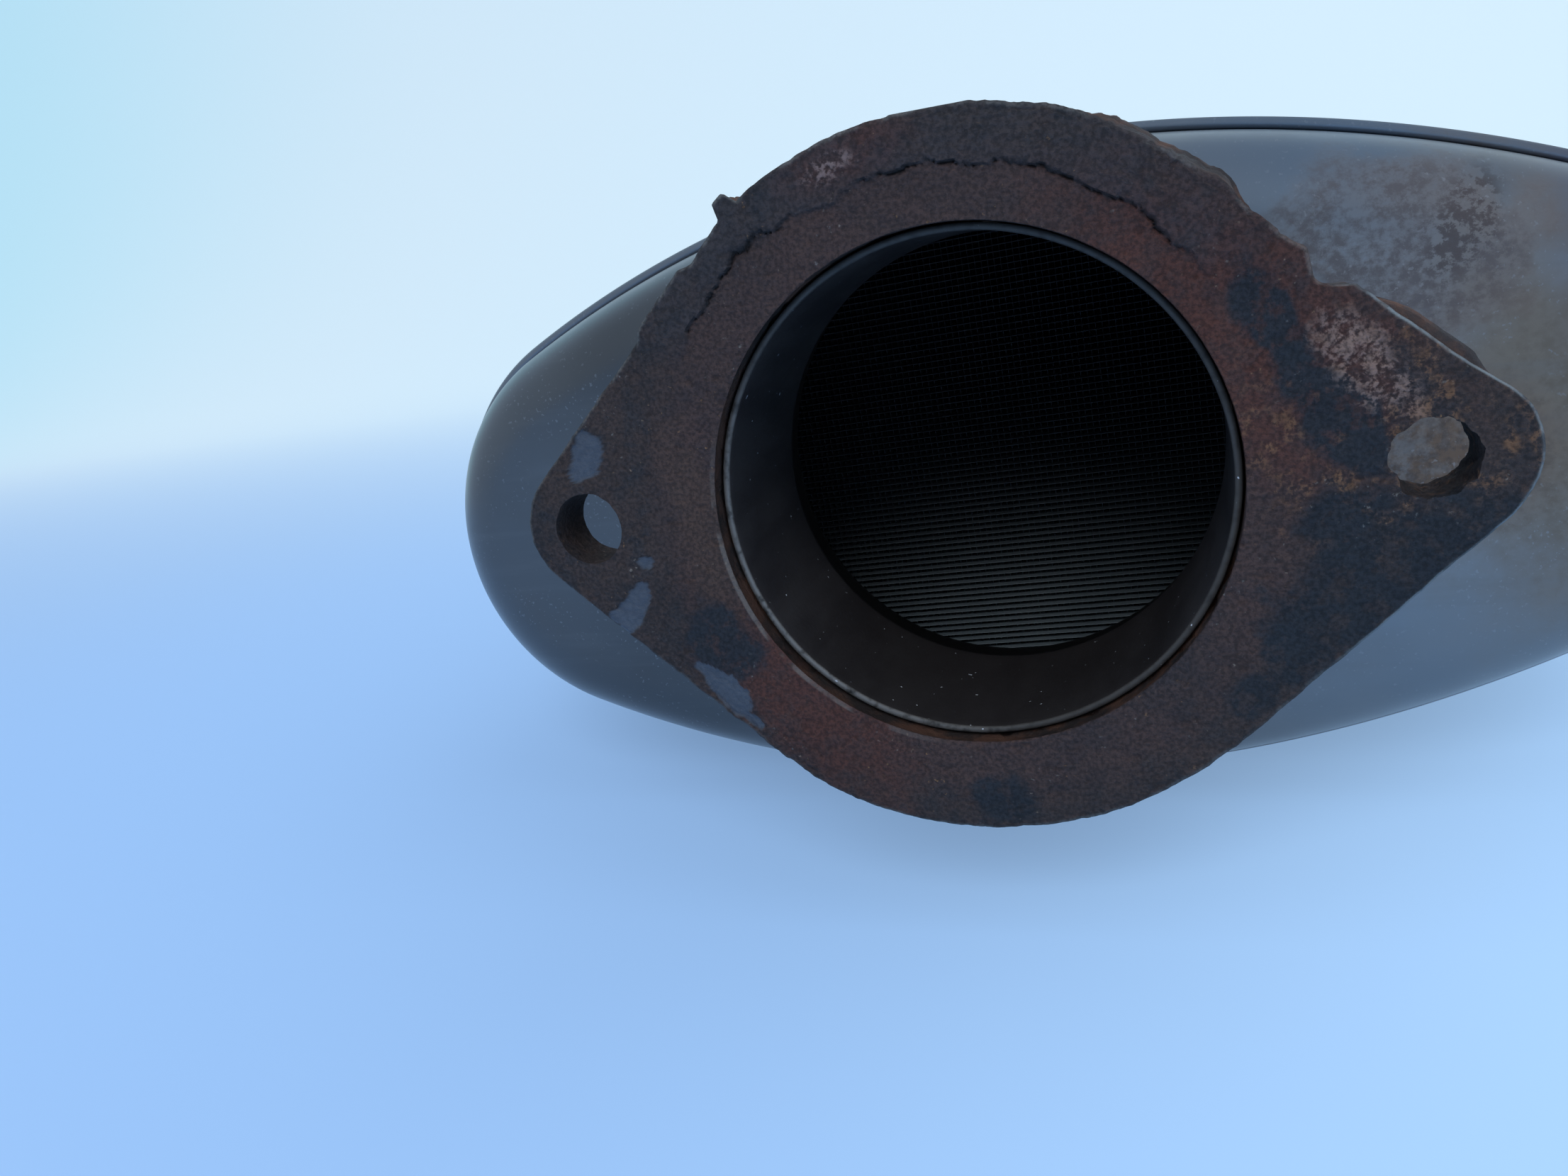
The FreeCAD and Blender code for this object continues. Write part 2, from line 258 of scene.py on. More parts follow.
def inside_depth(x, z, growth):
    """How far a point lies inside the oval: the arc's radius less the distance to its centre."""
    _, _, end_r, end_x, flat_r, flat_z = oval_arcs(growth)
    x, z = np.abs(x + CAN_SHIFT), np.abs(z + CAN_DROP)
    over_flat = end_x * (z + flat_z) - flat_z * x > 0
    return np.where(over_flat, flat_r - np.hypot(x, z + flat_z), end_r - np.hypot(x - end_x, z))


def oval_path(growth, count):
    """Points and outward directions round the oval. A quarter is its end arc and then its flat
    arc, each evenly spaced by the angle turned, and the other quarters mirror it."""
    half_w, half_h, end_r, end_x, flat_r, flat_z = oval_arcs(growth)
    lean = math.atan2(flat_z, end_x)
    end_share = END_SPACING * lean / math.pi * 2
    quarter = np.linspace(0, 1, count // 4, endpoint=False)
    in_end = quarter < end_share
    end_turn = np.clip(quarter / end_share, 0, 1) * lean
    flat_turn = lean + np.clip((quarter - end_share) / (1 - end_share), 0, 1) * (math.pi / 2 - lean)
    turn = np.where(in_end, end_turn, flat_turn)
    x = np.where(in_end, end_x + end_r * np.cos(turn), flat_r * np.cos(turn))
    z = np.where(in_end, end_r * np.sin(turn), flat_r * np.sin(turn) - flat_z)
    first = np.array([x, z, np.cos(turn), np.sin(turn)])
    top = np.array([[0.0], [half_h], [0.0], [1.0]])
    second = first[:, :0:-1] * np.array([[-1], [1], [-1], [1]])
    far_end = np.array([[-half_w], [0.0], [-1.0], [0.0]])
    upper = np.concatenate([first, top, second, far_end], 1)
    lower = upper[:, 1:-1][:, ::-1] * np.array([[1], [-1], [1], [-1]])
    px, pz, nx, nz = np.concatenate([upper, lower], 1)
    return px - CAN_SHIFT, pz - CAN_DROP, nx, nz


def carried_round_oval(profile, growth, count):
    """A closed profile of (offset outwards, y) pairs carried square round the oval."""
    px, pz, nx, nz = oval_path(growth, count)
    offset, y = np.asarray(profile, float).T
    x = px[:, None] + nx[:, None] * offset[None, :]
    z = pz[:, None] + nz[:, None] * offset[None, :]
    return clocked(points_at(x, y, z))


# ---- end caps ----
def outline_reach(angle, growth):
    """Distance from the bore's axis to the oval along each angle, by halving an interval."""
    near, far = np.full_like(angle, 20.0), np.full_like(angle, 120.0)
    for _ in range(HALVINGS):
        half = (near + far) / 2
        inside = inside_depth(half * np.cos(angle), half * np.sin(angle), growth) > 0
        near, far = np.where(inside, half, near), np.where(inside, far, half)
    return near


def cap_skin(growth, face_y, neck_r, shoulder_r, flare_r, angle, columns):
    """One wall of the cap from the neck's mouth to the rim. Between the neck and the oval its
    height is a quarter circle at the shoulder, flat further in, less a quarter circle where the
    neck flares."""
    reach = outline_reach(angle, growth)
    share = (1 - np.cos(np.linspace(0, math.pi, columns))) / 2
    radius = neck_r + share[None, :] * (reach[:, None] - neck_r)
    x, z = radius * np.cos(angle)[:, None], radius * np.sin(angle)[:, None]
    depth = np.clip(inside_depth(x, z, growth), 0, shoulder_r)
    y = face_y + shoulder_r - np.sqrt(np.maximum(shoulder_r ** 2 - (shoulder_r - depth) ** 2, 0))
    from_neck = np.clip(radius - neck_r, 0, flare_r)
    y = y - flare_r + np.sqrt(np.maximum(flare_r ** 2 - (flare_r - from_neck) ** 2, 0))
    neck_share = np.linspace(0, 1, 10, endpoint=False)[None, :]
    skirt_share = np.linspace(0, 1, 7)[None, 1:]
    neck_y = NECK_MOUTH + neck_share * (y[:, :1] - NECK_MOUTH)
    skirt_y = y[:, -1:] + (CAP_END - y[:, -1:]) * skirt_share
    return np.concatenate([points_at(x[:, :1], neck_y, z[:, :1]), points_at(x, y, z),
                           points_at(x[:, -1:], skirt_y, z[:, -1:])], 1)


def cap_grid():
    """Outer wall from mouth to rim and inner wall back again, one closed skin. The sections crowd
    towards the oval's ends: each angle less a share of the sine of twice itself."""
    growth = MAT_THICKNESS - CAP_CLEARANCE
    even = np.linspace(0, 2 * math.pi, CAP_SECTIONS, endpoint=False)
    angle = even - END_CROWDING * np.sin(2 * even)
    outer = cap_skin(growth, CAP_FACE, NECK_R, SHOULDER_R, FLARE_R, angle, 64)
    inner = cap_skin(growth - SHEET_WALL, CAP_FACE + SHEET_WALL, BORE_R,
                     SHOULDER_R - SHEET_WALL, FLARE_R + SHEET_WALL, angle, 40)
    return clocked(np.concatenate([outer, inner[:, ::-1]], 1))


def end_caps(material):
    grid = cap_grid()
    for end, points in (("inlet", grid), ("outlet", mirrored(grid))):
        piece = outward(grid_object(end + "_cap_pressing", points))
        finish_piece(piece, material, "can_stainless", end + "_end_cap")


# ---- shell and its long weld ----
def bead_dip(y):
    """The rolled stop bead: full depth at the middle, with flanks rounded by a smooth step."""
    away, ease = np.abs(y - MIDDLE_Y), 0.6
    foot = BEAD_WIDTH / 2 - BEAD_DEPTH - ease
    return BEAD_DEPTH * (1 - smooth(foot, BEAD_WIDTH / 2 + ease, away))


def shell_profile():
    """Outer line of the wrap and its inner line, with edges eased by a third of a millimetre."""
    ease = 0.35
    middle = np.linspace(-8, 8, 33) + MIDDLE_Y
    ends = np.array([SHELL_FRONT + ease, SHELL_FRONT + 1, SHELL_FRONT + 4, SHELL_FRONT + 30])
    back = SHELL_FRONT + SHELL_BACK - ends[::-1]
    y = np.concatenate([ends, middle, back])
    outer = np.stack([SHEET_WALL - bead_dip(y), y], -1)
    inner = np.stack([-bead_dip(y), y], -1)[::-1]
    edge_back = [[SHEET_WALL - ease, SHELL_BACK], [ease, SHELL_BACK]]
    edge_front = [[ease, SHELL_FRONT], [SHEET_WALL - ease, SHELL_FRONT]]
    return np.concatenate([outer, edge_back, inner, edge_front])


def shell(material):
    growth = MAT_THICKNESS - SHELL_CLEARANCE
    grid = carried_round_oval(shell_profile(), growth, SHELL_SECTIONS)
    finish_piece(outward(grid_object("can_wrap", grid)), material, "can_stainless", "can_shell")


def seam_bead(material):
    """A low crown along the top, half an ellipse across, whose height ripples along its length in
    curved scales."""
    y = np.linspace(SHELL_FRONT + 0.2, SHELL_BACK - 0.2, 700)
    across = np.linspace(-1, 1, 11)
    scales = (y[:, None] + 1.2 * across[None, :] ** 2) / SEAM_RIPPLE
    crown = SEAM_CROWN * np.sqrt(1 - across[None, :] ** 2)
    crown = crown * (0.75 + 0.25 * np.abs(np.sin(math.pi * scales)))
    width = SEAM_HALF_WIDTH + 0.2 * noise(y / 6, y * 0, 3)
    top_z = OVAL_HEIGHT / 2 + MAT_THICKNESS + SHEET_WALL - CAN_DROP - bead_dip(y)[:, None]
    x = width[:, None] * across[None, :] - CAN_SHIFT
    upper = points_at(x, y[:, None], top_z + crown - 0.02 * across ** 2)
    under = upper[:, 1:-1][:, ::-1].copy()
    under[..., 2] = top_z - 0.4                # sunk into the wrap
    grid = clocked(np.concatenate([upper, under], 1))
    rows, columns = grid.shape[:2]
    faces = grid_faces(rows, columns, close_rows=False).tolist()
    faces += [list(range(columns)), list(range((rows - 1) * columns, rows * columns))[::-1]]
    piece = outward(mesh_object("can_seam_bead", grid.reshape(-1, 3), faces))
    finish_piece(piece, material, "weld", "can_seam_weld")


# ---- pipes and ring welds ----
def ring_grid(profile, count, radial=None):
    """A closed profile of (radius, y) pairs spun round the bore's axis; radial(angle, y) adds to
    the radius."""
    angle = np.linspace(0, 2 * math.pi, count, endpoint=False)[:, None]
    radius, y = np.asarray(profile, float).T
    radius = radius[None, :] + (radial(angle, y[None, :]) if radial else 0)
    return points_at(radius * np.cos(angle), y, radius * np.sin(angle))


def pipe_profile():
    """Tube wall with a front rim worn round and a far end left with a small lip."""
    inner, outer = PIPE_R - PIPE_WALL, PIPE_R
    rim = [[outer, PIPE_FRONT + 0.35], [outer - 0.1, PIPE_FRONT + 0.1], [outer - 0.3, PIPE_FRONT],
           [inner + 0.25, PIPE_FRONT], [inner + 0.08, PIPE_FRONT + 0.1], [inner, PIPE_FRONT + 0.35]]
    inside = [[inner, y] for y in np.linspace(PIPE_FRONT + 1.5, PIPE_END - 1, 14)]
    far = [[inner + 0.1, PIPE_END - 0.2], [inner + 0.3, PIPE_END], [outer - 0.15, PIPE_END],
           [outer, PIPE_END - 0.3]]
    outside = [[outer, y] for y in np.linspace(PIPE_END - 1, PIPE_FRONT + 1.5, 12)]
    return rim + inside + far + outside


def pipes(material):
    def worn(angle, y):
        near_rim = 1 - smooth(0, 2.5, y - PIPE_FRONT)
        round_trip = noise(6 * np.cos(angle) + 9, 6 * np.sin(angle) + 9, 4, 3)
        return near_rim * RIM_WEAR * round_trip * (y < PIPE_END - 2)

    grid = ring_grid(pipe_profile(), PIPE_SECTIONS, worn)
    for end, points in (("inlet", grid), ("outlet", mirrored(grid))):
        piece = outward(grid_object(end + "_pipe_stub", points))
        finish_piece(piece, material, "pipe_steel", end + "_pipe")


def weld_profile(leg_y, leg_r, y, direction):
    """Across a fillet weld: from the face up a convex throat to the pipe, then back along both."""
    bulge = 0.93                               # 1 would be a quarter circle
    throat = [[PIPE_R + leg_r * max(0, 1 - math.sin(t) ** bulge * 0.99),
               y + direction * leg_y * max(0.02, 1 - math.cos(t) ** bulge)]
              for t in np.linspace(0, math.pi / 2, 9)]
    on_pipe = PIPE_R + 0.02
    return throat + [[on_pipe, y + direction * leg_y * 0.5], [on_pipe, y + direction * 0.05]]


def ring_weld(name, node, leg_y, leg_r, y, direction, ripples, material, mirror):
    """The fillet's throat is pushed in between ripples, which lie slanted like stacked coins."""
    profile = np.array(weld_profile(leg_y, leg_r, y, direction))

    def rippled(angle, y_at):
        along = ripples * angle / (2 * math.pi) + 0.35 * (y_at - y) / leg_y * direction
        dip = RIPPLE_DEPTH * np.abs(np.sin(math.pi * along)) ** 0.7 - RIPPLE_DEPTH
        lumps = noise(5 * np.cos(angle) + 7, 5 * np.sin(angle) + 7 + y_at / 3, ripples, 3)
        lumps = LUMP_HEIGHT * lumps - LUMP_HEIGHT
        shown = np.ones(len(profile))
        shown[-2:] = 0
        height = np.clip((profile[:, 0] - PIPE_R) / leg_r * 4, 0, 1)
        return (dip + lumps) * shown[None, :] * height[None, :]

    grid = ring_grid(profile, WELD_SECTIONS, rippled)
    piece = outward(grid_object(name, mirrored(grid) if mirror else grid))
    finish_piece(piece, material, "weld", node)


def ring_welds(material):
    for end in ("inlet", "outlet"):
        far = end == "outlet"
        ring_weld(end + "_flange_bead", end + "_flange_weld", FLANGE_WELD_LEG, FLANGE_WELD_LEG,
                  FLANGE_BACK, 1, FLANGE_WELD_RIPPLES, material, far)
        ring_weld(end + "_neck_bead", end + "_neck_weld", NECK_WELD_LEG, NECK_R - PIPE_R,
                  NECK_MOUTH, -1, NECK_WELD_RIPPLES, material, far)


# ---- bricks ----
def boxes_mesh(lows, highs):
    """Eight corners and six outward faces for each pair of low and high corners."""
    pick = np.array([[0, 0, 0], [1, 0, 0], [1, 1, 0], [0, 1, 0],
                     [0, 0, 1], [1, 0, 1], [1, 1, 1], [0, 1, 1]])
    sides = np.array([[0, 3, 2, 1], [4, 5, 6, 7], [0, 1, 5, 4],
                      [1, 2, 6, 5], [2, 3, 7, 6], [3, 0, 4, 7]])
    points = np.where(pick[None, :, :] == 1, highs[:, None, :], lows[:, None, :])
    faces = sides[None, :, :] + 8 * np.arange(len(lows))[:, None, None]
    return points.reshape(-1, 3), faces.reshape(-1, 4)


def chord(across, growth, along_x):
    """Half length of the oval's chord at a distance from its middle line, found by halving."""
    near, far = np.zeros_like(across), np.full_like(across, OVAL_WIDTH)
    for _ in range(HALVINGS):
        half = (near + far) / 2
        x, z = (half, across) if along_x else (across, half)
        inside = inside_depth(x - CAN_SHIFT, z - CAN_DROP, growth) > 0
        near, far = np.where(inside, half, near), np.where(inside, far, half)
    return near


def brick_walls(y0, y1):
    """Level walls, one between each two rows of cells, and upright walls between the columns, all
    running along the brick, so that every cell is open from end to end."""
    def middles(size):
        """Places of the walls across a size, one a cell, centred."""
        places = (np.arange(int(size / CELL_PITCH)) + 0.5) * CELL_PITCH
        return places - places.mean()

    x, z, t = middles(OVAL_WIDTH), middles(OVAL_HEIGHT), CELL_WALL / 2
    z_reach, x_reach = chord(np.abs(z), -0.3, True), chord(np.abs(x), -0.3, False)
    lows = np.concatenate([points_at(-z_reach, y0, z - t),
                           points_at(x - t, y0 + CELL_RECESS, -x_reach)])
    highs = np.concatenate([points_at(z_reach, y1, z + t),
                            points_at(x + t, y1 - CELL_RECESS, x_reach)])
    centre = np.array([-CAN_SHIFT, 0, -CAN_DROP])
    return boxes_mesh(lows + centre, highs + centre)


def brick(name, node, material):
    y0, y1 = low(node)[1], high(node)[1]
    points, faces = brick_walls(y0, y1)
    ring = [[0, y0], [0, y1], [-BRICK_SKIN, y1], [-BRICK_SKIN, y0]]
    skin = carried_round_oval(ring, 0, BRICK_SECTIONS)
    skin_faces = grid_faces(*skin.shape[:2])[:, ::-1] + len(points)
    points = np.concatenate([clocked(points), skin.reshape(-1, 3)])
    piece = mesh_object(name, points, np.concatenate([faces, skin_faces]), smooth_shading=False)
    finish_piece(piece, material, "honeycomb_ceramic", node)


# ---- flanges ----
def flange_reach(angle, bitten):
    """Distance from the bore's axis to the flange's edge: the round, its tangent, then the ear. The
    bite cuts it back to whichever of its two sides a ray meets last, rounded at the corner."""
    folded = np.abs(np.arctan2(np.abs(np.sin(angle)), np.abs(np.cos(angle))))
    lean = math.acos((FLANGE_ROUND_R - LOBE_R) / BOLT_REACH)
    ear_x, ear_z = BOLT_REACH + LOBE_R * math.cos(lean), LOBE_R * math.sin(lean)
    tangent = FLANGE_ROUND_R / np.cos(np.minimum(folded - lean, 0))
    ear_drop = np.maximum(LOBE_R ** 2 - (BOLT_REACH * np.sin(folded)) ** 2, 0)
    ear = BOLT_REACH * np.cos(folded) + np.sqrt(ear_drop)
    reach = np.where(folded < math.atan2(ear_z, ear_x), ear, tangent)
    if not bitten:
        return reach
    cx, cz = BITE_CORNER
    cos, sin = math.cos(BITE_LEAN), math.sin(BITE_LEAN)
    facing_up = np.maximum(np.cos(angle) * sin + np.sin(angle) * cos, 0.02)
    facing_right = np.maximum(np.cos(angle) * cos + np.sin(angle) * sin, 0.02)
    foot, side = (cx * sin + cz * cos) / facing_up, (cx * cos + cz * sin) / facing_right
    bite = BITE_ROUNDING * np.logaddexp(foot / BITE_ROUNDING, side / BITE_ROUNDING)
    return np.minimum(reach, bite)


def edge_angles(count, bitten):
    """Angles whose points on the flange's edge lie evenly spaced along it."""
    fine = np.linspace(0, 2 * math.pi, 20001)
    reach = flange_reach(fine, bitten)
    x, z = reach * np.cos(fine), reach * np.sin(fine)
    length = np.concatenate([[0], np.cumsum(np.hypot(np.diff(x), np.diff(z)))])
    return np.interp(np.linspace(0, length[-1], count, endpoint=False), length, fine)


def stretches(angle, base, *rows):
    """A base plus soft-ended windows, each (height, from degree, to degree, fade in degrees)."""
    return sum((height * turned_window(angle, *window) for height, *window in rows), base)


def edge_loss(angle, bitten):
    """How far rust has eaten the edge back, less the swelling where scale has grown beyond it and
    the flakes that stand off the upper left. Loss is roughness times noise."""
    x, z = EDGE_R * np.cos(angle), EDGE_R * np.sin(angle)
    torn = 0.8 * noise(x / 4.5, z / 4.5, 21, 5) + 0.45 * noise(x / 0.9, z / 0.9, 22, 3)
    if not bitten:
        return 0.22 * torn + 0.2
    rough = stretches(angle, 0.2, (0.28, 18, 98, 8), (0.3, 205, 240, 6))
    return rough * torn - stretches(angle, 0, *SWELLINGS) - stretches(angle, 0, *FLAKES)


def leaves_behind(angle, y):
    """How far the leaves of rust behind the front one stand out past it: one along the right ear's
    upper edge, and two, each further back and further out, along the upper right."""
    torn = 0.25 * noise(9 * np.cos(angle), 9 * np.sin(angle) + y / 3, 27, 4)
    ear = 1.5 * turned_window(angle, 9, 20, 2.5) * smooth(1.3, 1.7, y + torn)
    upper = 0.45 * smooth(1.2, 1.5, y + torn) + 0.5 * smooth(3.2, 3.6, y + torn)
    upper = turned_window(angle, 41, 66, 5) * upper
    before_back = 1 - smooth(FLANGE_BACK - 1.6, FLANGE_BACK - 0.6, y)
    return (ear + upper) * (1 + torn) * before_back


def leaf_margin(x, z):
    """How far outside the inner edge of the outermost leaf of scale a point lies. That edge is a
    ragged arc a little outside the gasket's print."""
    angle, radius = np.arctan2(z, x), np.hypot(x, z)
    arc = stretches(angle, 33.0, (1.5, 118, 152, 12), (-0.9, 30, 62, 12))
    arc = arc + 0.9 * noise(x / 5, z / 5, 31, 5) + 0.5 * noise(x / 1.4, z / 1.4, 32, 3)
    return radius - arc


def scale_leaf(x, z):
    """1 where the outermost leaf of rust scale still covers the flange's upper rim."""
    return smooth(-0.1, 0.1, leaf_margin(x, z)) * turned_window(np.arctan2(z, x), 38, 146, 6)


def leaf_crack(x, z):
    """1 in the crack under the leaf's lifted edge, in broken stretches: a bell curve across
    the margin, whose width wanders. The finish paints it near black as painted shade."""
    width = 0.10 + 0.12 * noise(x / 3, z / 3, 33, 3)
    broken = smooth(-0.35, 0.0, noise(x / 6, z / 6, 34, 3))
    run = turned_window(np.arctan2(z, x), 44, 146, 3) * broken
    return np.exp(-(leaf_margin(x, z) / np.maximum(width, 0.04)) ** 2) * run


def bare_patches(x, z):
    """1 inside ovals with ragged rims where thick scale has come away to blue-grey metal."""
    ragged = 0.35 * noise(x / 1.6, z / 1.6, 41, 4)
    cover = np.zeros_like(x)
    for cx, cz, half_long, half_wide, turn in SCALED_OFF:
        cos, sin = math.cos(math.radians(turn)), math.sin(math.radians(turn))
        along = ((x - cx) * cos + (z - cz) * sin) / half_long
        across = (-(x - cx) * sin + (z - cz) * cos) / half_wide
        cover = np.maximum(cover, 1 - smooth(0.92, 1.0, np.hypot(along, across) + ragged))
    return cover


def face_depth(x, z, from_edge, bitten):
    """How deep the worn face lies below the flange's true face: general wear with shallow pits and
    ragged steps along the edge, like a page torn leaf by leaf, less the proud leaf of scale, plus
    its crack and the bare patches."""
    wear = 0.45 + 0.12 * noise(x / 9, z / 9, 51, 3) + 0.09 * noise(x / 1.6, z / 1.6, 52, 4)
    depth = wear + 0.14 * smooth(0.3, 0.6, noise(x / 1.4, z / 1.4, 53, 3))
    edge_noise = 0.6 * noise(x / 3.5, z / 3.5, 54, 4) + 0.4 * noise(x / 0.9, z / 0.9, 55, 3)
    torn_stretches = ((0.8, 38, 92, 8), (0.5, 208, 236, 5)) if bitten else ()
    flaking = stretches(np.arctan2(z, x), 0.2, *torn_stretches)
    for width, drop in EDGE_STEPS:
        on_step = 1 - smooth(0, 0.14, from_edge - width - 1.1 * edge_noise)
        depth = depth + flaking * drop * on_step
    if bitten:
        depth = depth - 0.38 * scale_leaf(x, z) + 0.45 * leaf_crack(x, z)
        depth = depth + 0.2 * bare_patches(x, z)
    return depth


def flange_grid(bitten, seed):
    """Sections round the flange, each of which runs out over the face, back along the edge, in over
    the back and forward through the bore. Grooves part the edge into leaves."""
    angle = edge_angles(FLANGE_SECTIONS, bitten)[:, None]
    reach = flange_reach(angle, bitten) - edge_loss(angle + seed, bitten)
    top = cad_high[2] / MM - 0.05
    reach = np.minimum(reach, top / np.maximum(np.sin(angle), 0.05))
    share = np.concatenate([np.linspace(0, 0.04, 4, endpoint=False), np.linspace(0.04, 0.9, 38),
                            np.linspace(0.915, 1, 10)])[None, :]
    rim_r = BORE_R + 0.1
    mouth = rim_r + (0.4 * turned_window(angle, 140, 265, 25) if bitten else 0)
    radius = mouth + share * (reach - mouth)
    x, z = radius * np.cos(angle), radius * np.sin(angle)
    rounding = 0.35 * np.maximum(0, 1 - (reach - radius) / 0.5) ** 2
    front_y = np.maximum(face_depth(x, z, reach - radius, bitten) + rounding, 0.02)

    start_y = front_y[:, -1:]
    side_y = start_y + (FLANGE_BACK - 0.3 - start_y) * np.linspace(0, 1, 15)[None, 1:]
    edge_x, edge_z = EDGE_R * np.cos(angle), EDGE_R * np.sin(angle)
    groove = 0
    for groove_y, groove_seed in EDGE_GROOVES:
        wander = groove_y + 0.8 * noise(edge_x / 8, edge_z / 8, groove_seed, 3)
        strength = smooth(-0.25, 0.35, noise(edge_x / 11, edge_z / 11, groove_seed + 7, 3))
        groove = groove + strength * np.exp(-((side_y - wander) / 0.32) ** 2)
    leaf = 0.3 * noise(edge_x / 5, side_y / 1.4 + edge_z / 5, 66, 3) + 0.3
    side_r = reach - 0.9 * groove - leaf + (leaves_behind(angle, side_y) if bitten else 0)

    back_r = rim_r + np.linspace(0.99, 0, 14)[None, :] * (side_r[:, -1:] - BORE_R - 0.1)
    back_x, back_z = back_r * np.cos(angle), back_r * np.sin(angle)
    back_y = FLANGE_BACK - 0.16 - 0.12 * noise(back_x / 3, back_z / 3, 71, 4)

    bore_start, mouth_y = FLANGE_BACK - 0.6, front_y[:, :1]
    bore_y = bore_start + (mouth_y + 0.12 - FLANGE_BACK + 0.6) * np.linspace(0, 1, 14)[None, :]
    eaten = smooth(0.0, 0.6, noise(edge_x / 2.2, edge_z / 2.2 + bore_y / 1.8, 72, 4))
    bore_r = BORE_R + (0.1 + 0.32 * eaten) * smooth(0.0, 0.8, bore_y - mouth_y)
    return np.concatenate([
        points_at(x, front_y, z), points_at(side_r * np.cos(angle), side_y, side_r * np.sin(angle)),
        points_at(back_x, back_y, back_z),
        points_at(bore_r * np.cos(angle), bore_y, bore_r * np.sin(angle))], 1)


def hole_cutter(bitten):
    """Two closed spindles through the ears, their walls ragged by noise, more so on the right."""
    count, rows = 96, 26
    angle = np.linspace(0, 2 * math.pi, count, endpoint=False)[:, None]
    y = np.linspace(-2, FLANGE_BACK + 2, rows)[None, :]
    spindles, faces = [], []
    for side in (-1, 1):
        ragged, choked = (0.55, 0.35) if bitten and side == 1 else (0.12, 0.0)
        flaw = noise(3 * np.cos(angle) + 5 * side, 3 * np.sin(angle) + y / 2.6, 81, 4)
        radius = BOLT_HOLE_R - choked + ragged * flaw
        grid = points_at(side * BOLT_REACH + radius * np.cos(angle), y, radius * np.sin(angle))
        start = count * rows * len(spindles)
        spindles.append(grid.reshape(-1, 3))
        end = start + np.arange(count) * rows
        faces += (grid_faces(count, rows, close_columns=False) + start).tolist()
        faces += [end.tolist()[::-1], (end + rows - 1).tolist()]
    return np.concatenate(spindles), faces


def flange(name, node, material, bitten, seed):
    """The flange's skin with its bolt holes cut, and the attributes its finish reads."""
    body = outward(grid_object(name, flange_grid(bitten, seed)))
    cutter = outward(mesh_object(name + "_cutter", *hole_cutter(bitten)))
    cut = body.modifiers.new("bolt holes", "BOOLEAN")
    cut.operation, cut.solver, cut.object = "DIFFERENCE", "EXACT", cutter
    bpy.context.view_layer.update()
    depsgraph = bpy.context.evaluated_depsgraph_get()
    mesh = bpy.data.meshes.new_from_object(body.evaluated_get(depsgraph))
    body.modifiers.clear()
    body.data = mesh
    mesh.name = name
    bpy.data.objects.remove(cutter)
    points = np.zeros(len(mesh.vertices) * 3)
    mesh.vertices.foreach_get("co", points)
    x, _, z = points.reshape(-1, 3).T / MM
    shown = 1.0 if bitten else 0.0
    angle = np.arctan2(z, x)
    from_edge = flange_reach(angle, bitten) - edge_loss(angle + seed, bitten) - np.hypot(x, z)
    fields = {"bare_metal": bare_patches(x, z) * shown, "scale_leaf": scale_leaf(x, z) * shown,
              "leaf_crack": leaf_crack(x, z) * shown, "from_edge": from_edge}
    for field, values in fields.items():
        layer = mesh.attributes.new(field, "FLOAT", "POINT")
        layer.data.foreach_set("value", values.astype(np.float32))
    if not bitten:
        points = points.reshape(-1, 3) * [1, -1, 1] + [0, 2 * MIDDLE_Y * MM, 0]
        mesh.vertices.foreach_set("co", points.ravel())
        mesh.flip_normals()
    mesh.set_sharp_from_angle(angle=math.radians(50))
    finish_piece(body, material, "rusted_flange", node)


# ---- shader sheet ----
class Value:
    """A shader socket; + - * and ** on it add Math nodes."""

    def __init__(self, sheet, socket):
        self.sheet, self.socket = sheet, socket

    def _math(self, operation, a, b):
        return self.sheet.node("ShaderNodeMath", {"operation": operation}, {0: a, 1: b})

    def __add__(self, other):
        return self._math("ADD", self, other)

    def __sub__(self, other):
        return self._math("SUBTRACT", self, other)

    def __rsub__(self, other):
        return self._math("SUBTRACT", other, self)

    def __mul__(self, other):
        return self._math("MULTIPLY", self, other)

    def __pow__(self, other):
        return self._math("POWER", self, other)

    __radd__, __rmul__ = __add__, __mul__


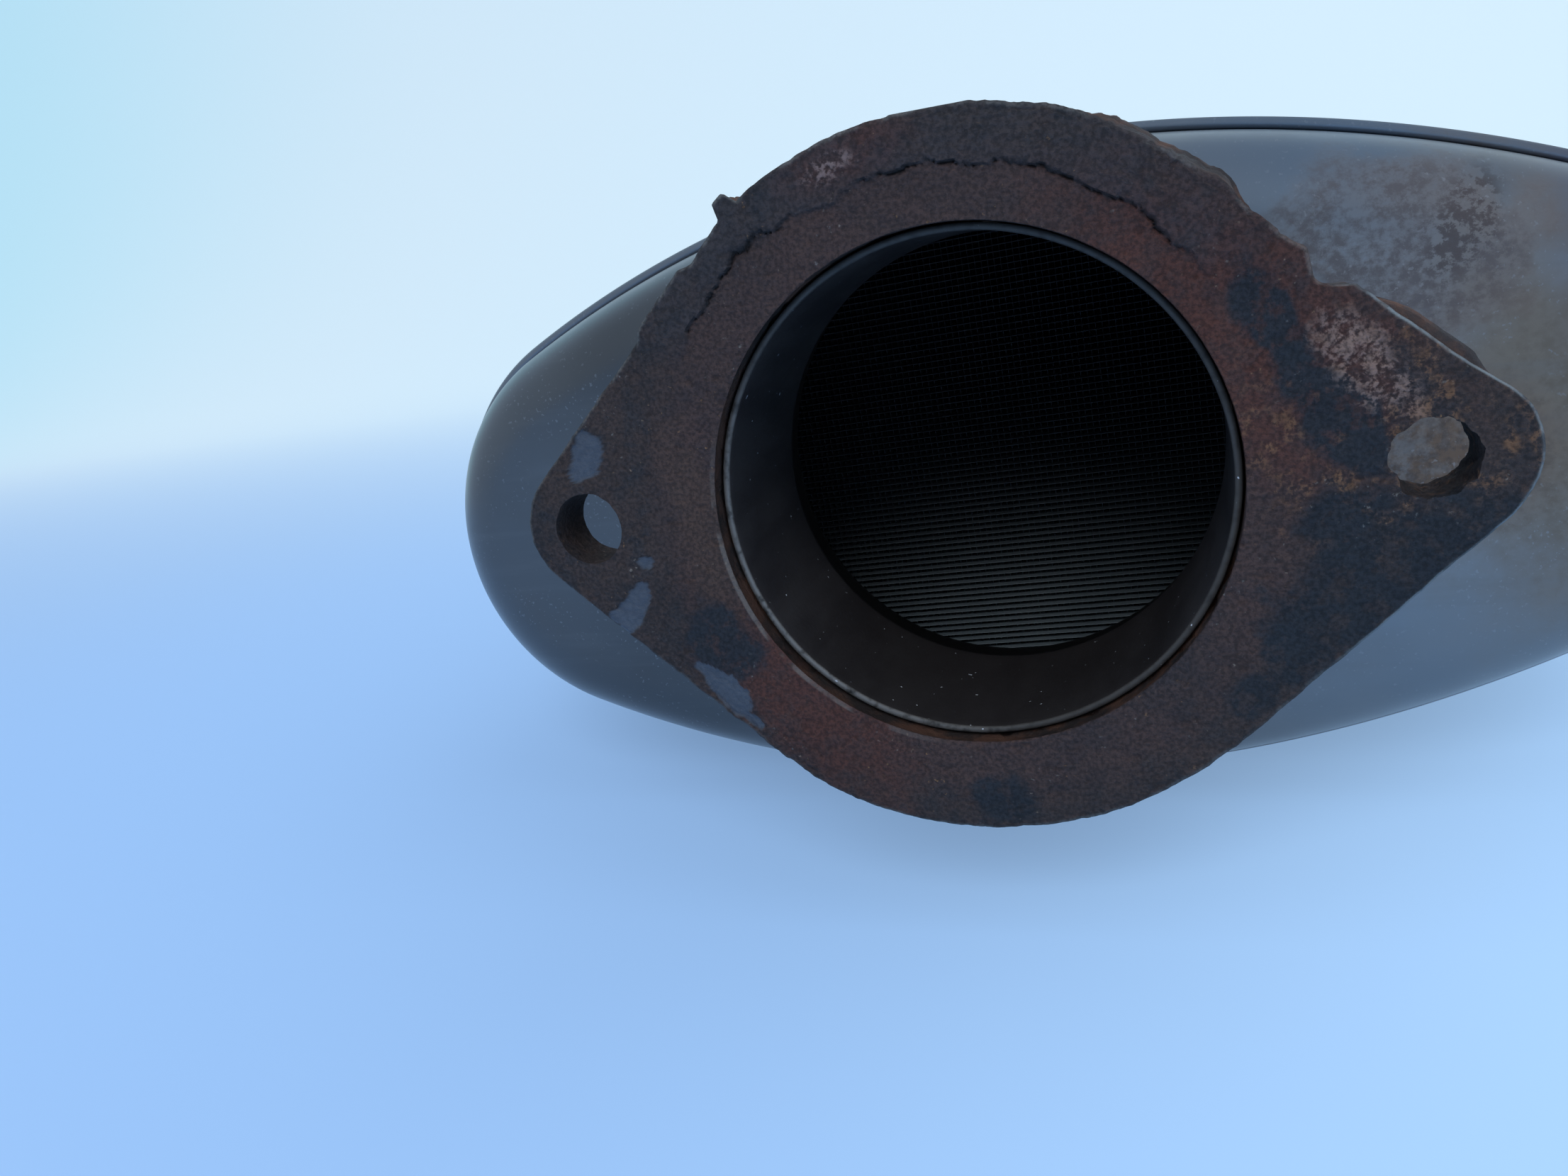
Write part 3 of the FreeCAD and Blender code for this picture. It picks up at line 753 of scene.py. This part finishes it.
class Sheet:
    """The recipe of one finish: a material, its Principled shader and its place in millimetres."""

    def __init__(self, name):
        self.material = bpy.data.materials.new(name)
        self.material.use_nodes = True
        self.tree = self.material.node_tree
        self.shader = self.tree.nodes["Principled BSDF"]
        place = self.node("ShaderNodeTexCoord", {}, {}, "Object")
        self.place = self.node("ShaderNodeVectorMath", {"operation": "SCALE"},
                               {0: place, "Scale": 1 / MM})

    def node(self, kind, settings, inputs, output=0):
        """Adds a node, sets its settings, then links or sets its sockets; gives one output."""
        node = self.tree.nodes.new(kind)
        for key, value in settings.items():
            setattr(node, key, value)
        for key, value in inputs.items():
            self.feed(node.inputs[key], value)
        return Value(self, node.outputs[output])

    def feed(self, socket, value):
        if isinstance(value, Value):
            self.tree.links.new(value.socket, socket)
        elif isinstance(value, tuple) and len(value) == 3 and socket.type == "RGBA":
            socket.default_value = (*value, 1)
        else:
            socket.default_value = value

    def noise(self, size, detail=4, rough=0.55, stretch=(1, 1, 1)):
        """Noise whose largest lumps are about size millimetres, stretched along axes if asked."""
        scaled = self.node("ShaderNodeVectorMath", {"operation": "MULTIPLY"},
                           {0: self.place, 1: tuple(1 / (size * s) for s in stretch)})
        return self.node("ShaderNodeTexNoise", {"noise_type": "FBM"},
                         {"Vector": scaled, "Scale": 1.0, "Detail": float(detail),
                          "Roughness": rough})

    def step(self, value, start, end, low_value=0.0, high_value=1.0):
        return self.node("ShaderNodeMapRange", {"interpolation_type": "SMOOTHSTEP", "clamp": True},
                         {"Value": value, "From Min": start, "From Max": end,
                          "To Min": low_value, "To Max": high_value})

    def fade(self, value, start, end):
        return self.step(value, start, end, 1.0, 0.0)

    def mix(self, share, a, b, blend="MIX"):
        settings = {"data_type": "RGBA", "blend_type": blend, "clamp_factor": True}
        return self.node("ShaderNodeMix", settings, {0: share, 6: a, 7: b}, 2)

    def layered(self, colour, *layers):
        """Lays (share, tint) pairs over a colour, one after another."""
        for share, tint in layers:
            colour = self.mix(share, colour, tint)
        return colour

    def axes(self):
        split = self.node("ShaderNodeSeparateXYZ", {}, {0: self.place})
        outputs = split.socket.node.outputs
        return tuple(Value(self, outputs[i]) for i in range(3))

    def least(self, a, b):
        return self.node("ShaderNodeMath", {"operation": "MINIMUM"}, {0: a, 1: b})

    def most(self, a, b):
        return self.node("ShaderNodeMath", {"operation": "MAXIMUM"}, {0: a, 1: b})

    def blot(self, x, z, centre, half_sizes, turn, ragged, amount, soft):
        """1 inside an oval on the x-z plane, fading at its rim, which noise makes ragged."""
        cos, sin = math.cos(math.radians(turn)), math.sin(math.radians(turn))
        dx, dz = x - centre[0], z - centre[1]
        along = (dx * cos + dz * sin) * (1 / half_sizes[0])
        across = (dz * cos - dx * sin) * (1 / half_sizes[1])
        away = (along * along + across * across) ** 0.5 + (ragged - 0.5) * amount * 2
        return self.fade(away, 1 - soft, 1 + soft)

    def bump(self, height, distance, strength=1.0, normal=None):
        inputs = {"Height": height, "Distance": distance * MM, "Strength": strength}
        if normal is not None:
            inputs["Normal"] = normal
        return self.node("ShaderNodeBump", {}, inputs)

    def done(self, **sockets):
        """Feeds the Principled shader, whose socket names are given with _ for each space."""
        for key, value in sockets.items():
            self.feed(self.shader.inputs[key.replace("_", " ")], value)
        return self.material


def attribute(sheet, name):
    return sheet.node("ShaderNodeAttribute", {"attribute_name": name}, {}, "Fac")


# ---- finishes ----
def rusted_flange():
    """Brown-grey scale with a redder ring where the gasket sat, black stains, orange specks and
    blue-grey metal where scale has come away, with painted shade in the crack under the lifted
    leaf of scale and painted highlights along the front edge, the right ear's rim and the bore's
    lower left mouth."""
    s = Sheet("rusted flange")
    x, y, z = s.axes()
    radius = (x * x + z * z) ** 0.5
    from_edge, bare = attribute(s, "from_edge"), attribute(s, "bare_metal")
    broad, patchy, mottle = s.noise(16, 5), s.noise(5, 6, 0.6), s.noise(2.6, 7, 0.7)
    grain, specks, ragged = s.noise(0.9, 6, 0.65), s.noise(0.55, 3), s.noise(2.5, 5)

    def spot(centre, half_sizes, turn, rim=patchy, amount=0.9, soft=0.5):
        return s.blot(x, z, centre, half_sizes, turn, rim, amount, soft)

    dark_scale, brown_scale = (0.034, 0.027, 0.028), (0.055, 0.038, 0.034)
    grey_scale, warm_fleck = (0.042, 0.040, 0.045), (0.066, 0.044, 0.039)
    cold_fleck, print_red = (0.024, 0.025, 0.031), (0.080, 0.045, 0.040)
    deep_red, orange = (0.088, 0.034, 0.025), (0.190, 0.100, 0.052)
    dull_orange, bright_speck = (0.090, 0.056, 0.040), (0.26, 0.150, 0.075)
    stain_black = (0.020, 0.024, 0.032)

    ring = s.fade(radius + (patchy - 0.5) * 9, 31.5, 37.5)
    ring = ring * s.step(broad, 0.3, 0.62, 0.35, 1.0)
    red = s.most(spot((26, 14), (11, 18), 45, amount=0.8),
                 spot((-20, -22), (14, 7), -48, amount=0.8))
    red = s.most(red, spot((-8, 35.5), (7, 2.6), 12))
    right_ear = spot((40, 2), (13, 10), 0, amount=0.7) * s.step(s.noise(2.2, 5), 0.45, 0.65)
    left = spot((-29.5, -2), (3.0, 12), 8, amount=0.8, soft=0.6)
    colour = s.layered(
        s.mix(s.step(broad, 0.36, 0.64), dark_scale, brown_scale),
        (s.step(patchy, 0.42, 0.72) * 0.8, grey_scale),
        (s.step(mottle, 0.50, 0.56) * 0.45, warm_fleck),
        (s.step(mottle, 0.44, 0.40) * 0.55, cold_fleck),
        (ring * 0.6, print_red),
        (red * s.step(mottle, 0.42, 0.52, 0.5, 0.9), deep_red),
        (right_ear * s.step(grain, 0.44, 0.58) * 0.8, orange),
        (left * 0.4, dull_orange),
        (s.step(specks, 0.66, 0.74) * s.step(patchy, 0.45, 0.62) * 0.8, bright_speck))
    for centre, sizes, turn in STAINS:
        stain = spot(centre, sizes, turn, soft=0.22) * s.step(mottle, 0.60, 0.50, 0.5, 0.95)
        colour = s.mix(stain, colour, stain_black)

    pale = spot((38.4, 9.4), (5.6, 2.5), -52, ragged, soft=0.4)
    pinkish = spot((-9.5, 34.6), (2.6, 1.2), 20, ragged)
    crystals = s.step(specks, 0.64, 0.72) * s.step(s.noise(7, 3), 0.50, 0.66)
    # painted highlight: a thin pale line along the front edge
    painted_edge_highlight = s.fade(from_edge, 0.15, 0.6) * s.fade(y, 0.3, 1.6)
    painted_edge_highlight = painted_edge_highlight * s.step(s.noise(3.5, 4), 0.44, 0.56)
    colour = s.layered(
        colour,
        (pale * s.step(grain, 0.42, 0.58) * 0.52, (0.33, 0.235, 0.205)),
        (attribute(s, "scale_leaf") * s.step(patchy, 0.62, 0.42, 0.25, 0.6), (0.038, 0.038, 0.045)),
        (crystals * 0.5, (0.22, 0.23, 0.23)),
        (pinkish * s.step(grain, 0.45, 0.6) * 0.5, (0.29, 0.22, 0.215)),
        # painted shade: the crack under the lifted leaf of scale is painted near black
        (attribute(s, "leaf_crack") * 0.9, (0.007, 0.006, 0.006)),
        (painted_edge_highlight * 0.4, (0.20, 0.215, 0.215)))
    sand = s.step(s.noise(0.45, 3), 0.35, 0.65, 0.40, 0.80)
    grey_sand = s.node("ShaderNodeCombineXYZ", {}, {0: sand, 1: sand, 2: sand})
    colour = s.mix(1.0, colour, grey_sand, "MULTIPLY")

    bare_tint = s.mix(s.step(grain, 0.3, 0.7), (0.058, 0.070, 0.092), (0.078, 0.092, 0.116))
    # painted highlight: a thin pale blue line along the right ear's front rim
    painted_ear_rim_highlight = s.fade(from_edge, 0.12, 0.40) * s.fade(y, 0.6, 1.4)
    painted_ear_rim_highlight = painted_ear_rim_highlight * s.step(x, 34, 40) * s.step(s.noise(2.4, 4), 0.36, 0.50, 0.3, 1.0)
    inside_bore = s.fade(radius, 27.9, 28.3) * s.step(y, 0.55, 1.0)
    bore_tint = s.mix(s.step(patchy, 0.4, 0.6), (0.017, 0.013, 0.012), (0.055, 0.027, 0.018))
    # painted highlight: a thin pale line on the bore's mouth at the lower left
    mouth = s.fade(radius, 28.05, 28.3) * s.fade(y, 0.45, 0.75)
    mouth = mouth * s.fade(x * 0.85 + z * 0.5, -27, -16) * s.step(s.noise(5, 3), 0.42, 0.55)
    behind = s.step(y, 0.9, 2.0) * s.fade(from_edge, 1.0, 1.6)
    side_tint = s.mix(s.step(patchy, 0.4, 0.6), (0.030, 0.024, 0.024), (0.085, 0.045, 0.032))
    colour = s.layered(
        colour, (bare, bare_tint), (painted_ear_rim_highlight * 0.75, (0.180, 0.215, 0.235)),
        (inside_bore, bore_tint), (mouth * 0.5, (0.15, 0.14, 0.13)), (behind, side_tint))
    fine = s.bump(s.noise(0.4, 5, 0.7), 0.10, 0.9)
    normal = s.bump(broad * 0.15 + patchy * 0.3 + grain * 0.55, 0.7, 1.0, fine)
    return s.done(Base_Color=colour, Roughness=s.step(patchy, 0.3, 0.7, 0.60, 0.80) - bare * 0.12,
                  Metallic=bare * 0.35, Normal=normal, Specular_IOR_Level=0.3)


def can_stainless():
    """Satin pressed stainless, tinted by heat from bronze to blue, with a rust bloom on the cap's
    right shoulder, a brown stain behind the right ear and faint draw marks. On the cap, painted
    shade darkens the far left and the lower left, a painted dark reflection lies on the upper
    left face, a painted highlight runs along the left shoulder and painted blue reflections
    lie on the right face and the top right."""
    s = Sheet("heat-tinted stainless")
    x, y, z = s.axes()
    cloud, mottle, fine = s.noise(60, 4), s.noise(9, 5, 0.6), s.noise(1.6, 5, 0.7)
    streaks, drips = s.noise(14, 4, 0.6, (3.5, 1.0, 0.35)), s.noise(1.5, 7, 0.72, (1.1, 1.0, 1.0))
    on_face, near_face = s.fade(y, 50, 60), s.fade(y, 50, 70)

    def spot(centre, half_sizes, turn, rim, amount, soft):
        return s.blot(x, z, centre, half_sizes, turn, rim, amount, soft)

    # painted shade: the cap's far left is made darker
    left = s.fade(x + (cloud - 0.5) * 40, -60, 0)
    # painted reflection: a pale blue patch on the cap's right face
    painted_reflection_right = spot((58, 8), (36, 24), 8, cloud, 0.5, 0.6) * near_face
    # painted dark reflection: a dark band on the cap's upper left face
    painted_dark_reflection = spot((-46, 20), (20, 11), 28, cloud, 0.7, 0.6) * on_face
    # painted shade: the cap's lower left is made darker
    painted_underside_shade = spot((-48, -34), (34, 14), -8, cloud, 0.7, 0.7)
    # painted highlight: a lighter band along the cap's left shoulder
    shoulder = s.step(y + (mottle - 0.5) * 3, 35.5, 42) * s.fade(x, -10, 20)
    # painted reflection: the cap's top right is made blue-grey
    painted_top_reflection = spot((48, 30), (40, 9), -10, cloud, 0.6, 0.6) * on_face
    bronze = spot((64, 2), (17, 24), 10, mottle * 0.4 + cloud * 0.6, 1.0, 0.7)
    blue = spot((78, 24), (13, 20), -20, cloud, 0.8, 0.6)
    colour = s.layered(
        s.mix(s.step(cloud, 0.35, 0.65), (0.165, 0.180, 0.200), (0.200, 0.200, 0.205)),
        (left * 0.85, (0.092, 0.094, 0.098)),
        (painted_reflection_right * 0.8, (0.310, 0.370, 0.430)),
        (s.most(painted_dark_reflection * 0.6, painted_underside_shade * 0.5), (0.058, 0.056, 0.056)),
        (shoulder * s.step(y, 50, 70, 0.55, 0.0), (0.235, 0.255, 0.285)),
        (painted_top_reflection * 0.8, (0.125, 0.160, 0.205)),
        (bronze * 0.85, (0.205, 0.132, 0.074)),
        (blue * 0.7, (0.075, 0.115, 0.205)),
        (s.step(streaks, 0.52, 0.75) * 0.35, (0.150, 0.150, 0.155)))

    bloom = spot((46, 17.5), (14.5, 10.5), -12, mottle, 0.9, 0.25)
    bloom = bloom * s.step(y, 30, 33) * s.fade(y, 46, 60)
    bloom = bloom * s.step(mottle * 0.45 + drips * 0.55, 0.40, 0.56, 0.42, 0.95)
    bloom_tint = s.mix(s.step(drips, 0.44, 0.56), (0.094, 0.076, 0.074), (0.066, 0.052, 0.053))
    dark_spots = spot((53.5, 20), (3.0, 6.5), -28, mottle, 0.9, 0.4) * s.step(drips, 0.46, 0.52)
    weathered = spot((72, -6), (22, 20), 0, mottle, 0.7, 0.5) * on_face
    weathered = weathered * s.step(mottle * 0.5 + drips * 0.5, 0.42, 0.60, 0.3, 0.85)
    behind_ear = spot((50, -7), (11, 8), 0, mottle, 0.7, 0.5) * on_face
    behind_ear = behind_ear * s.step(mottle * 0.5 + fine * 0.5, 0.40, 0.56, 0.55, 1.0)
    ear_tint = s.mix(s.step(drips, 0.42, 0.58), (0.104, 0.062, 0.035), (0.060, 0.036, 0.023))
    low_spot = spot((37.5, -18), (3, 2), 20, mottle, 0.9, 0.3) * on_face
    along = s.step(y, 60, 110) * s.fade(y, 200, 250)
    scratches = s.step(s.noise(0.5, 2, 0.5, (1, 40, 1)), 0.64, 0.70) * s.step(mottle, 0.42, 0.58)
    spots = s.step(s.noise(2.4, 4), 0.66, 0.72) * s.step(cloud, 0.50, 0.60) * s.step(y, 58, 70)
    from_bead = s.most(y - MIDDLE_Y, MIDDLE_Y - y)
    inside = s.fade((x * x + z * z) ** 0.5, 28.2, 28.6)
    colour = s.layered(
        colour,
        (bloom * 0.9, bloom_tint),
        (dark_spots * on_face * 0.7, (0.050, 0.034, 0.033)),
        (weathered, (0.140, 0.098, 0.066)),
        (behind_ear, ear_tint),
        (low_spot * 0.6, (0.090, 0.055, 0.040)),
        (along * s.step(cloud, 0.3, 0.7) * 0.5, (0.245, 0.190, 0.150)),
        (scratches * 0.35, (0.30, 0.31, 0.33)),
        (spots * 0.8, (0.095, 0.055, 0.038)),
        (s.step(from_bead + (mottle - 0.5) * 8, 3, 9, 0.45, 0.0), (0.085, 0.066, 0.055)),
        (inside, (0.030, 0.027, 0.026)))
    worn_off = s.most(bloom, behind_ear)
    roughness = s.step(mottle, 0.3, 0.7, 0.34, 0.44) + worn_off * 0.25 + inside * 0.3 + spots * 0.25
    draw = s.noise(2.2, 3, 0.5, (6, 1, 1))
    normal = s.bump(draw * 0.5 + fine * 0.5 + bloom * fine * 1.5, 0.05, 0.5)
    return s.done(Base_Color=colour, Metallic=0.92 - worn_off * 0.6, Roughness=roughness,
                  Coat_Weight=0.5, Coat_Roughness=0.3, Normal=normal)


def pipe_steel():
    """Sooted tube, brown towards the bottom, with a rim scuffed bright, most of all at the lower
    left, where that brightness is a painted highlight, and small painted glints.
    """
    s = Sheet("sooted pipe steel")
    x, y, z = s.axes()
    smear, fine, scuffs = s.noise(7, 5, 0.6, (1, 3, 1)), s.noise(0.8, 5, 0.65), s.noise(1.4, 4, 0.6)
    bottom = s.fade(z + (smear - 0.5) * 10, -24, -12)
    from_ends = s.least(y, 2 * MIDDLE_Y - y)
    rim = s.fade(from_ends, PIPE_FRONT + 0.10, PIPE_FRONT + 0.45)
    # the rim's scuffs are brightest at the lower left, where the brightness is a painted highlight
    lower_left = s.step(x * 0.85 + z * 0.5, -27, -8, 1.0, 0.12)
    bright = s.mix(s.step(scuffs, 0.28, 0.55) * lower_left,
                   (0.028, 0.026, 0.025), (0.17, 0.165, 0.16))
    colour = s.layered(
        s.mix(s.step(smear, 0.35, 0.65), (0.024, 0.022, 0.024), (0.032, 0.029, 0.030)),
        (bottom * 0.7, (0.014, 0.012, 0.012)),
        (rim, bright),
        # painted glints: rare small bluish-white specks
        (s.step(s.noise(0.7, 2), 0.74, 0.77), (0.42, 0.45, 0.50)))
    return s.done(Base_Color=colour, Metallic=rim * lower_left * 0.5 + 0.1,
                  Roughness=s.step(smear, 0.3, 0.7, 0.46, 0.66), Specular_IOR_Level=0.3,
                  Normal=s.bump(fine * 0.6 + smear * 0.4, 0.12, 0.6))


def weld_metal():
    """Welds: dark brown scale, redder in the hollows, with small bright spots of spatter."""
    s = Sheet("rusted weld")
    patchy, fine = s.noise(3, 5, 0.6), s.noise(0.6, 5, 0.65)
    colour = s.mix(s.step(patchy, 0.38, 0.62), (0.048, 0.036, 0.033), (0.105, 0.058, 0.040))
    colour = s.mix(s.step(fine, 0.66, 0.74) * 0.6, colour, (0.20, 0.18, 0.16))
    return s.done(Base_Color=colour, Roughness=s.step(patchy, 0.3, 0.7, 0.5, 0.75), Metallic=0.35,
                  Normal=s.bump(fine * 0.6 + patchy * 0.4, 0.25, 0.7))


def honeycomb_ceramic():
    """Washcoated ceramic: grey-green, darkened in the upper half by painted shade whose edge drifts
    in patches.
    """
    s = Sheet("washcoated ceramic")
    drift, fine = s.noise(18, 4), s.noise(1.2, 4)
    # painted shade: darker over the upper half, its edge drifting with noise
    painted_top_shade = s.step(s.axes()[2] + (drift - 0.5) * 12, -44, 8)
    colour = s.layered(
        s.mix(s.step(drift, 0.35, 0.65), (0.128, 0.160, 0.182), (0.168, 0.203, 0.226)),
        (painted_top_shade * 0.95, (0.036, 0.036, 0.042)),
        (s.step(fine, 0.55, 0.75) * 0.15, (0.21, 0.23, 0.23)))
    return s.done(Base_Color=colour, Roughness=0.9, Normal=s.bump(fine, 0.05, 0.5))


def support_mat():
    """Swollen mineral-fibre mat with glinting flakes."""
    s = Sheet("fibre mat")
    fibre, flake = s.noise(2.0, 6, 0.7, (1, 4, 1)), s.noise(1.0, 2)
    colour = s.mix(s.step(fibre, 0.35, 0.65), (0.42, 0.37, 0.28), (0.62, 0.57, 0.47))
    colour = s.mix(s.step(flake, 0.66, 0.70), colour, (0.55, 0.42, 0.20))
    return s.done(Base_Color=colour, Roughness=0.9, Normal=s.bump(fibre, 0.4, 0.8))


def wire_mesh():
    """Knitted wire pressed flat: one distorted wave of diagonal bands, dull grey."""
    s = Sheet("knitted wire")
    knit = s.node("ShaderNodeTexWave", {"wave_type": "BANDS", "bands_direction": "DIAGONAL"},
                  {"Vector": s.place, "Scale": 0.28, "Distortion": 6.0, "Detail": 2.0}, "Fac")
    colour = s.mix(knit, (0.09, 0.088, 0.085), (0.34, 0.33, 0.31))
    return s.done(Base_Color=colour, Metallic=0.8, Roughness=0.45, Normal=s.bump(knit, 0.3, 0.9))


# ---- stage, light and camera ----
def stage():
    """A sheet that runs level under the part and curves up into a backdrop behind it: flat, then a
    quarter circle, then upright, carried straight across. Rays that show it straight on see mostly
    its plain colour, less so near the part, where its shadow lies."""
    bend, start, top, half_width, front = 900.0, 900.0, 3200.0, 4200.0, -3600.0
    turn = np.linspace(0, math.pi / 2, 24)
    curve = np.stack([start + bend * np.sin(turn), bend * (1 - np.cos(turn))], -1)
    line = np.concatenate([[[front, 0]], curve, [[start + bend, top]]])
    across = np.array([-half_width, half_width])
    grid = points_at(across, line[:, :1], line[:, 1:] + FLOOR_Z - 0.05)
    sheet = grid_object("backdrop_sheet", grid, close_rows=False, close_columns=False, flip=True)
    s = Sheet("pale sheet")
    x, y, z = s.axes()
    far = s.mix(s.step(x, -2300, -1000), (0.55, 0.86, 1.0), (0.72, 0.89, 1.0))
    # near the part the sheet is darker to the left, a painted shadow under the can, and lighter to
    # the right, painted light
    near = s.mix(s.step(x, -60, 90), (0.335, 0.540, 0.860), (0.450, 0.690, 1.0))
    colour = s.mix(s.step(y + z, -60, 1100), near, far)
    diffuse = s.done(Base_Color=colour, Roughness=0.9, Specular_IOR_Level=0.1)
    path = s.node("ShaderNodeLightPath", {}, {}).socket.node.outputs
    seen = s.most(Value(s, path["Is Camera Ray"]), Value(s, path["Is Glossy Ray"]))
    seen = s.most(seen, Value(s, path["Is Transmission Ray"]))
    from_part = (x * x + (y - 100) * (y - 100)) ** 0.5
    plain = s.node("ShaderNodeEmission", {}, {"Color": colour, "Strength": 1.0})
    shown = s.node("ShaderNodeMixShader", {}, {0: seen * s.step(from_part, 150, 500, 0.5, 0.72),
                                               1: Value(s, s.shader.outputs[0]), 2: plain})
    s.feed(s.tree.nodes["Material Output"].inputs["Surface"], shown)
    sheet.data.materials.append(diffuse)


def area_light(name, place, aim, size, power, colour):
    """A round lamp, in metres and watts, that shines on the part and shows in no reflection."""
    lamp = bpy.data.lights.new(name, "AREA")
    lamp.shape, lamp.size, lamp.energy, lamp.color = "DISK", size, power, colour
    holder = bpy.data.objects.new(name, lamp)
    bpy.context.scene.collection.objects.link(holder)
    holder.location = place
    holder.visible_glossy = False
    direction = np.array(aim) - np.array(place)
    holder.rotation_euler = Vector(direction).to_track_quat("-Z", "Y").to_euler()


def sky():
    """Soft overcast light, brighter above than level with the part. Rays that show the sky itself
    see one pale blue."""
    world = bpy.data.worlds.new("overcast")
    bpy.context.scene.world = world
    world.use_nodes = True
    tree = world.node_tree

    def new(kind):
        return tree.nodes.new("ShaderNode" + kind)

    def link(output, node, socket):
        tree.links.new(output, node.inputs[socket])

    light, pale, shown = tree.nodes["Background"], new("Background"), new("MixShader")
    split, ramp, path = new("SeparateXYZ"), new("ValToRGB"), new("LightPath")
    either, any_view = new("Math"), new("Math")
    link(new("TexCoord").outputs["Generated"], split, 0)
    link(split.outputs[2], ramp, 0)
    link(ramp.outputs[0], light, "Color")
    first, last = ramp.color_ramp.elements
    first.position, first.color = 0.0, (0.20, 0.25, 0.32, 1)
    last.position, last.color = 0.75, (0.72, 0.84, 1.0, 1)
    light.inputs["Strength"].default_value = 0.85
    pale.inputs["Color"].default_value = (0.46, 0.60, 0.78, 1)
    either.operation = any_view.operation = "MAXIMUM"
    link(path.outputs["Is Camera Ray"], either, 0)
    link(path.outputs["Is Glossy Ray"], either, 1)
    link(either.outputs[0], any_view, 0)
    link(path.outputs["Is Transmission Ray"], any_view, 1)
    link(any_view.outputs[0], shown, 0)
    link(light.outputs[0], shown, 1)
    link(pale.outputs[0], shown, 2)
    link(shown.outputs[0], tree.nodes["World Output"], "Surface")


def camera():
    """Stands in front of the inlet flange, a little to the right and above, looking left and
    down, and leans a little to its right."""
    lens = bpy.data.cameras.new("camera")
    lens.lens, lens.sensor_width = 26.85, 36.0
    lens.clip_start, lens.clip_end = 0.005, 50
    holder = bpy.data.objects.new("camera", lens)
    bpy.context.scene.collection.objects.link(holder)
    right, up = (0.9406, 0.3059, -0.1473), (0.0573, 0.2847, 0.9569)
    forward, place = (-0.3346, 0.9085, -0.2503), (0.02285, -0.11880, 0.02428)
    rows = [[right[i], up[i], -forward[i], place[i]] for i in range(3)] + [[0, 0, 0, 1]]
    holder.matrix_world = Matrix(rows)
    bpy.context.scene.camera = holder


# ---- the part ----
stainless, weld, pipe_finish, rust = can_stainless(), weld_metal(), pipe_steel(), rusted_flange()
ceramic, mat_finish, mesh_finish = honeycomb_ceramic(), support_mat(), wire_mesh()
end_caps(stainless)
shell(stainless)
seam_bead(weld)
pipes(pipe_finish)
ring_welds(weld)
brick("front_brick", "front_monolith", ceramic)
brick("rear_brick", "rear_monolith", ceramic)
flange("inlet_flange_rusted", "inlet_flange", rust, bitten=True, seed=0)
flange("outlet_flange_rusted", "outlet_flange", rust, bitten=False, seed=2.0)
for node_name, node_object in frame["nodes"].items():
    if "_seal" in node_name or node_name.endswith("_mat"):
        node_object.data.materials.clear()
        node_object.data.materials.append(mesh_finish if "_seal" in node_name else mat_finish)

stage()
sky()
area_light("window", place=(0.12, -1.0, 0.82), aim=(0, 0.03, 0), size=0.7, power=10,
           colour=(0.96, 0.98, 1.0))
area_light("overhead", place=(1.1, 0.3, 1.3), aim=(0, 0.1, 0), size=2.6, power=14,
           colour=(0.93, 0.97, 1.0))
camera()

bpy.context.scene.view_settings.view_transform = "Standard"
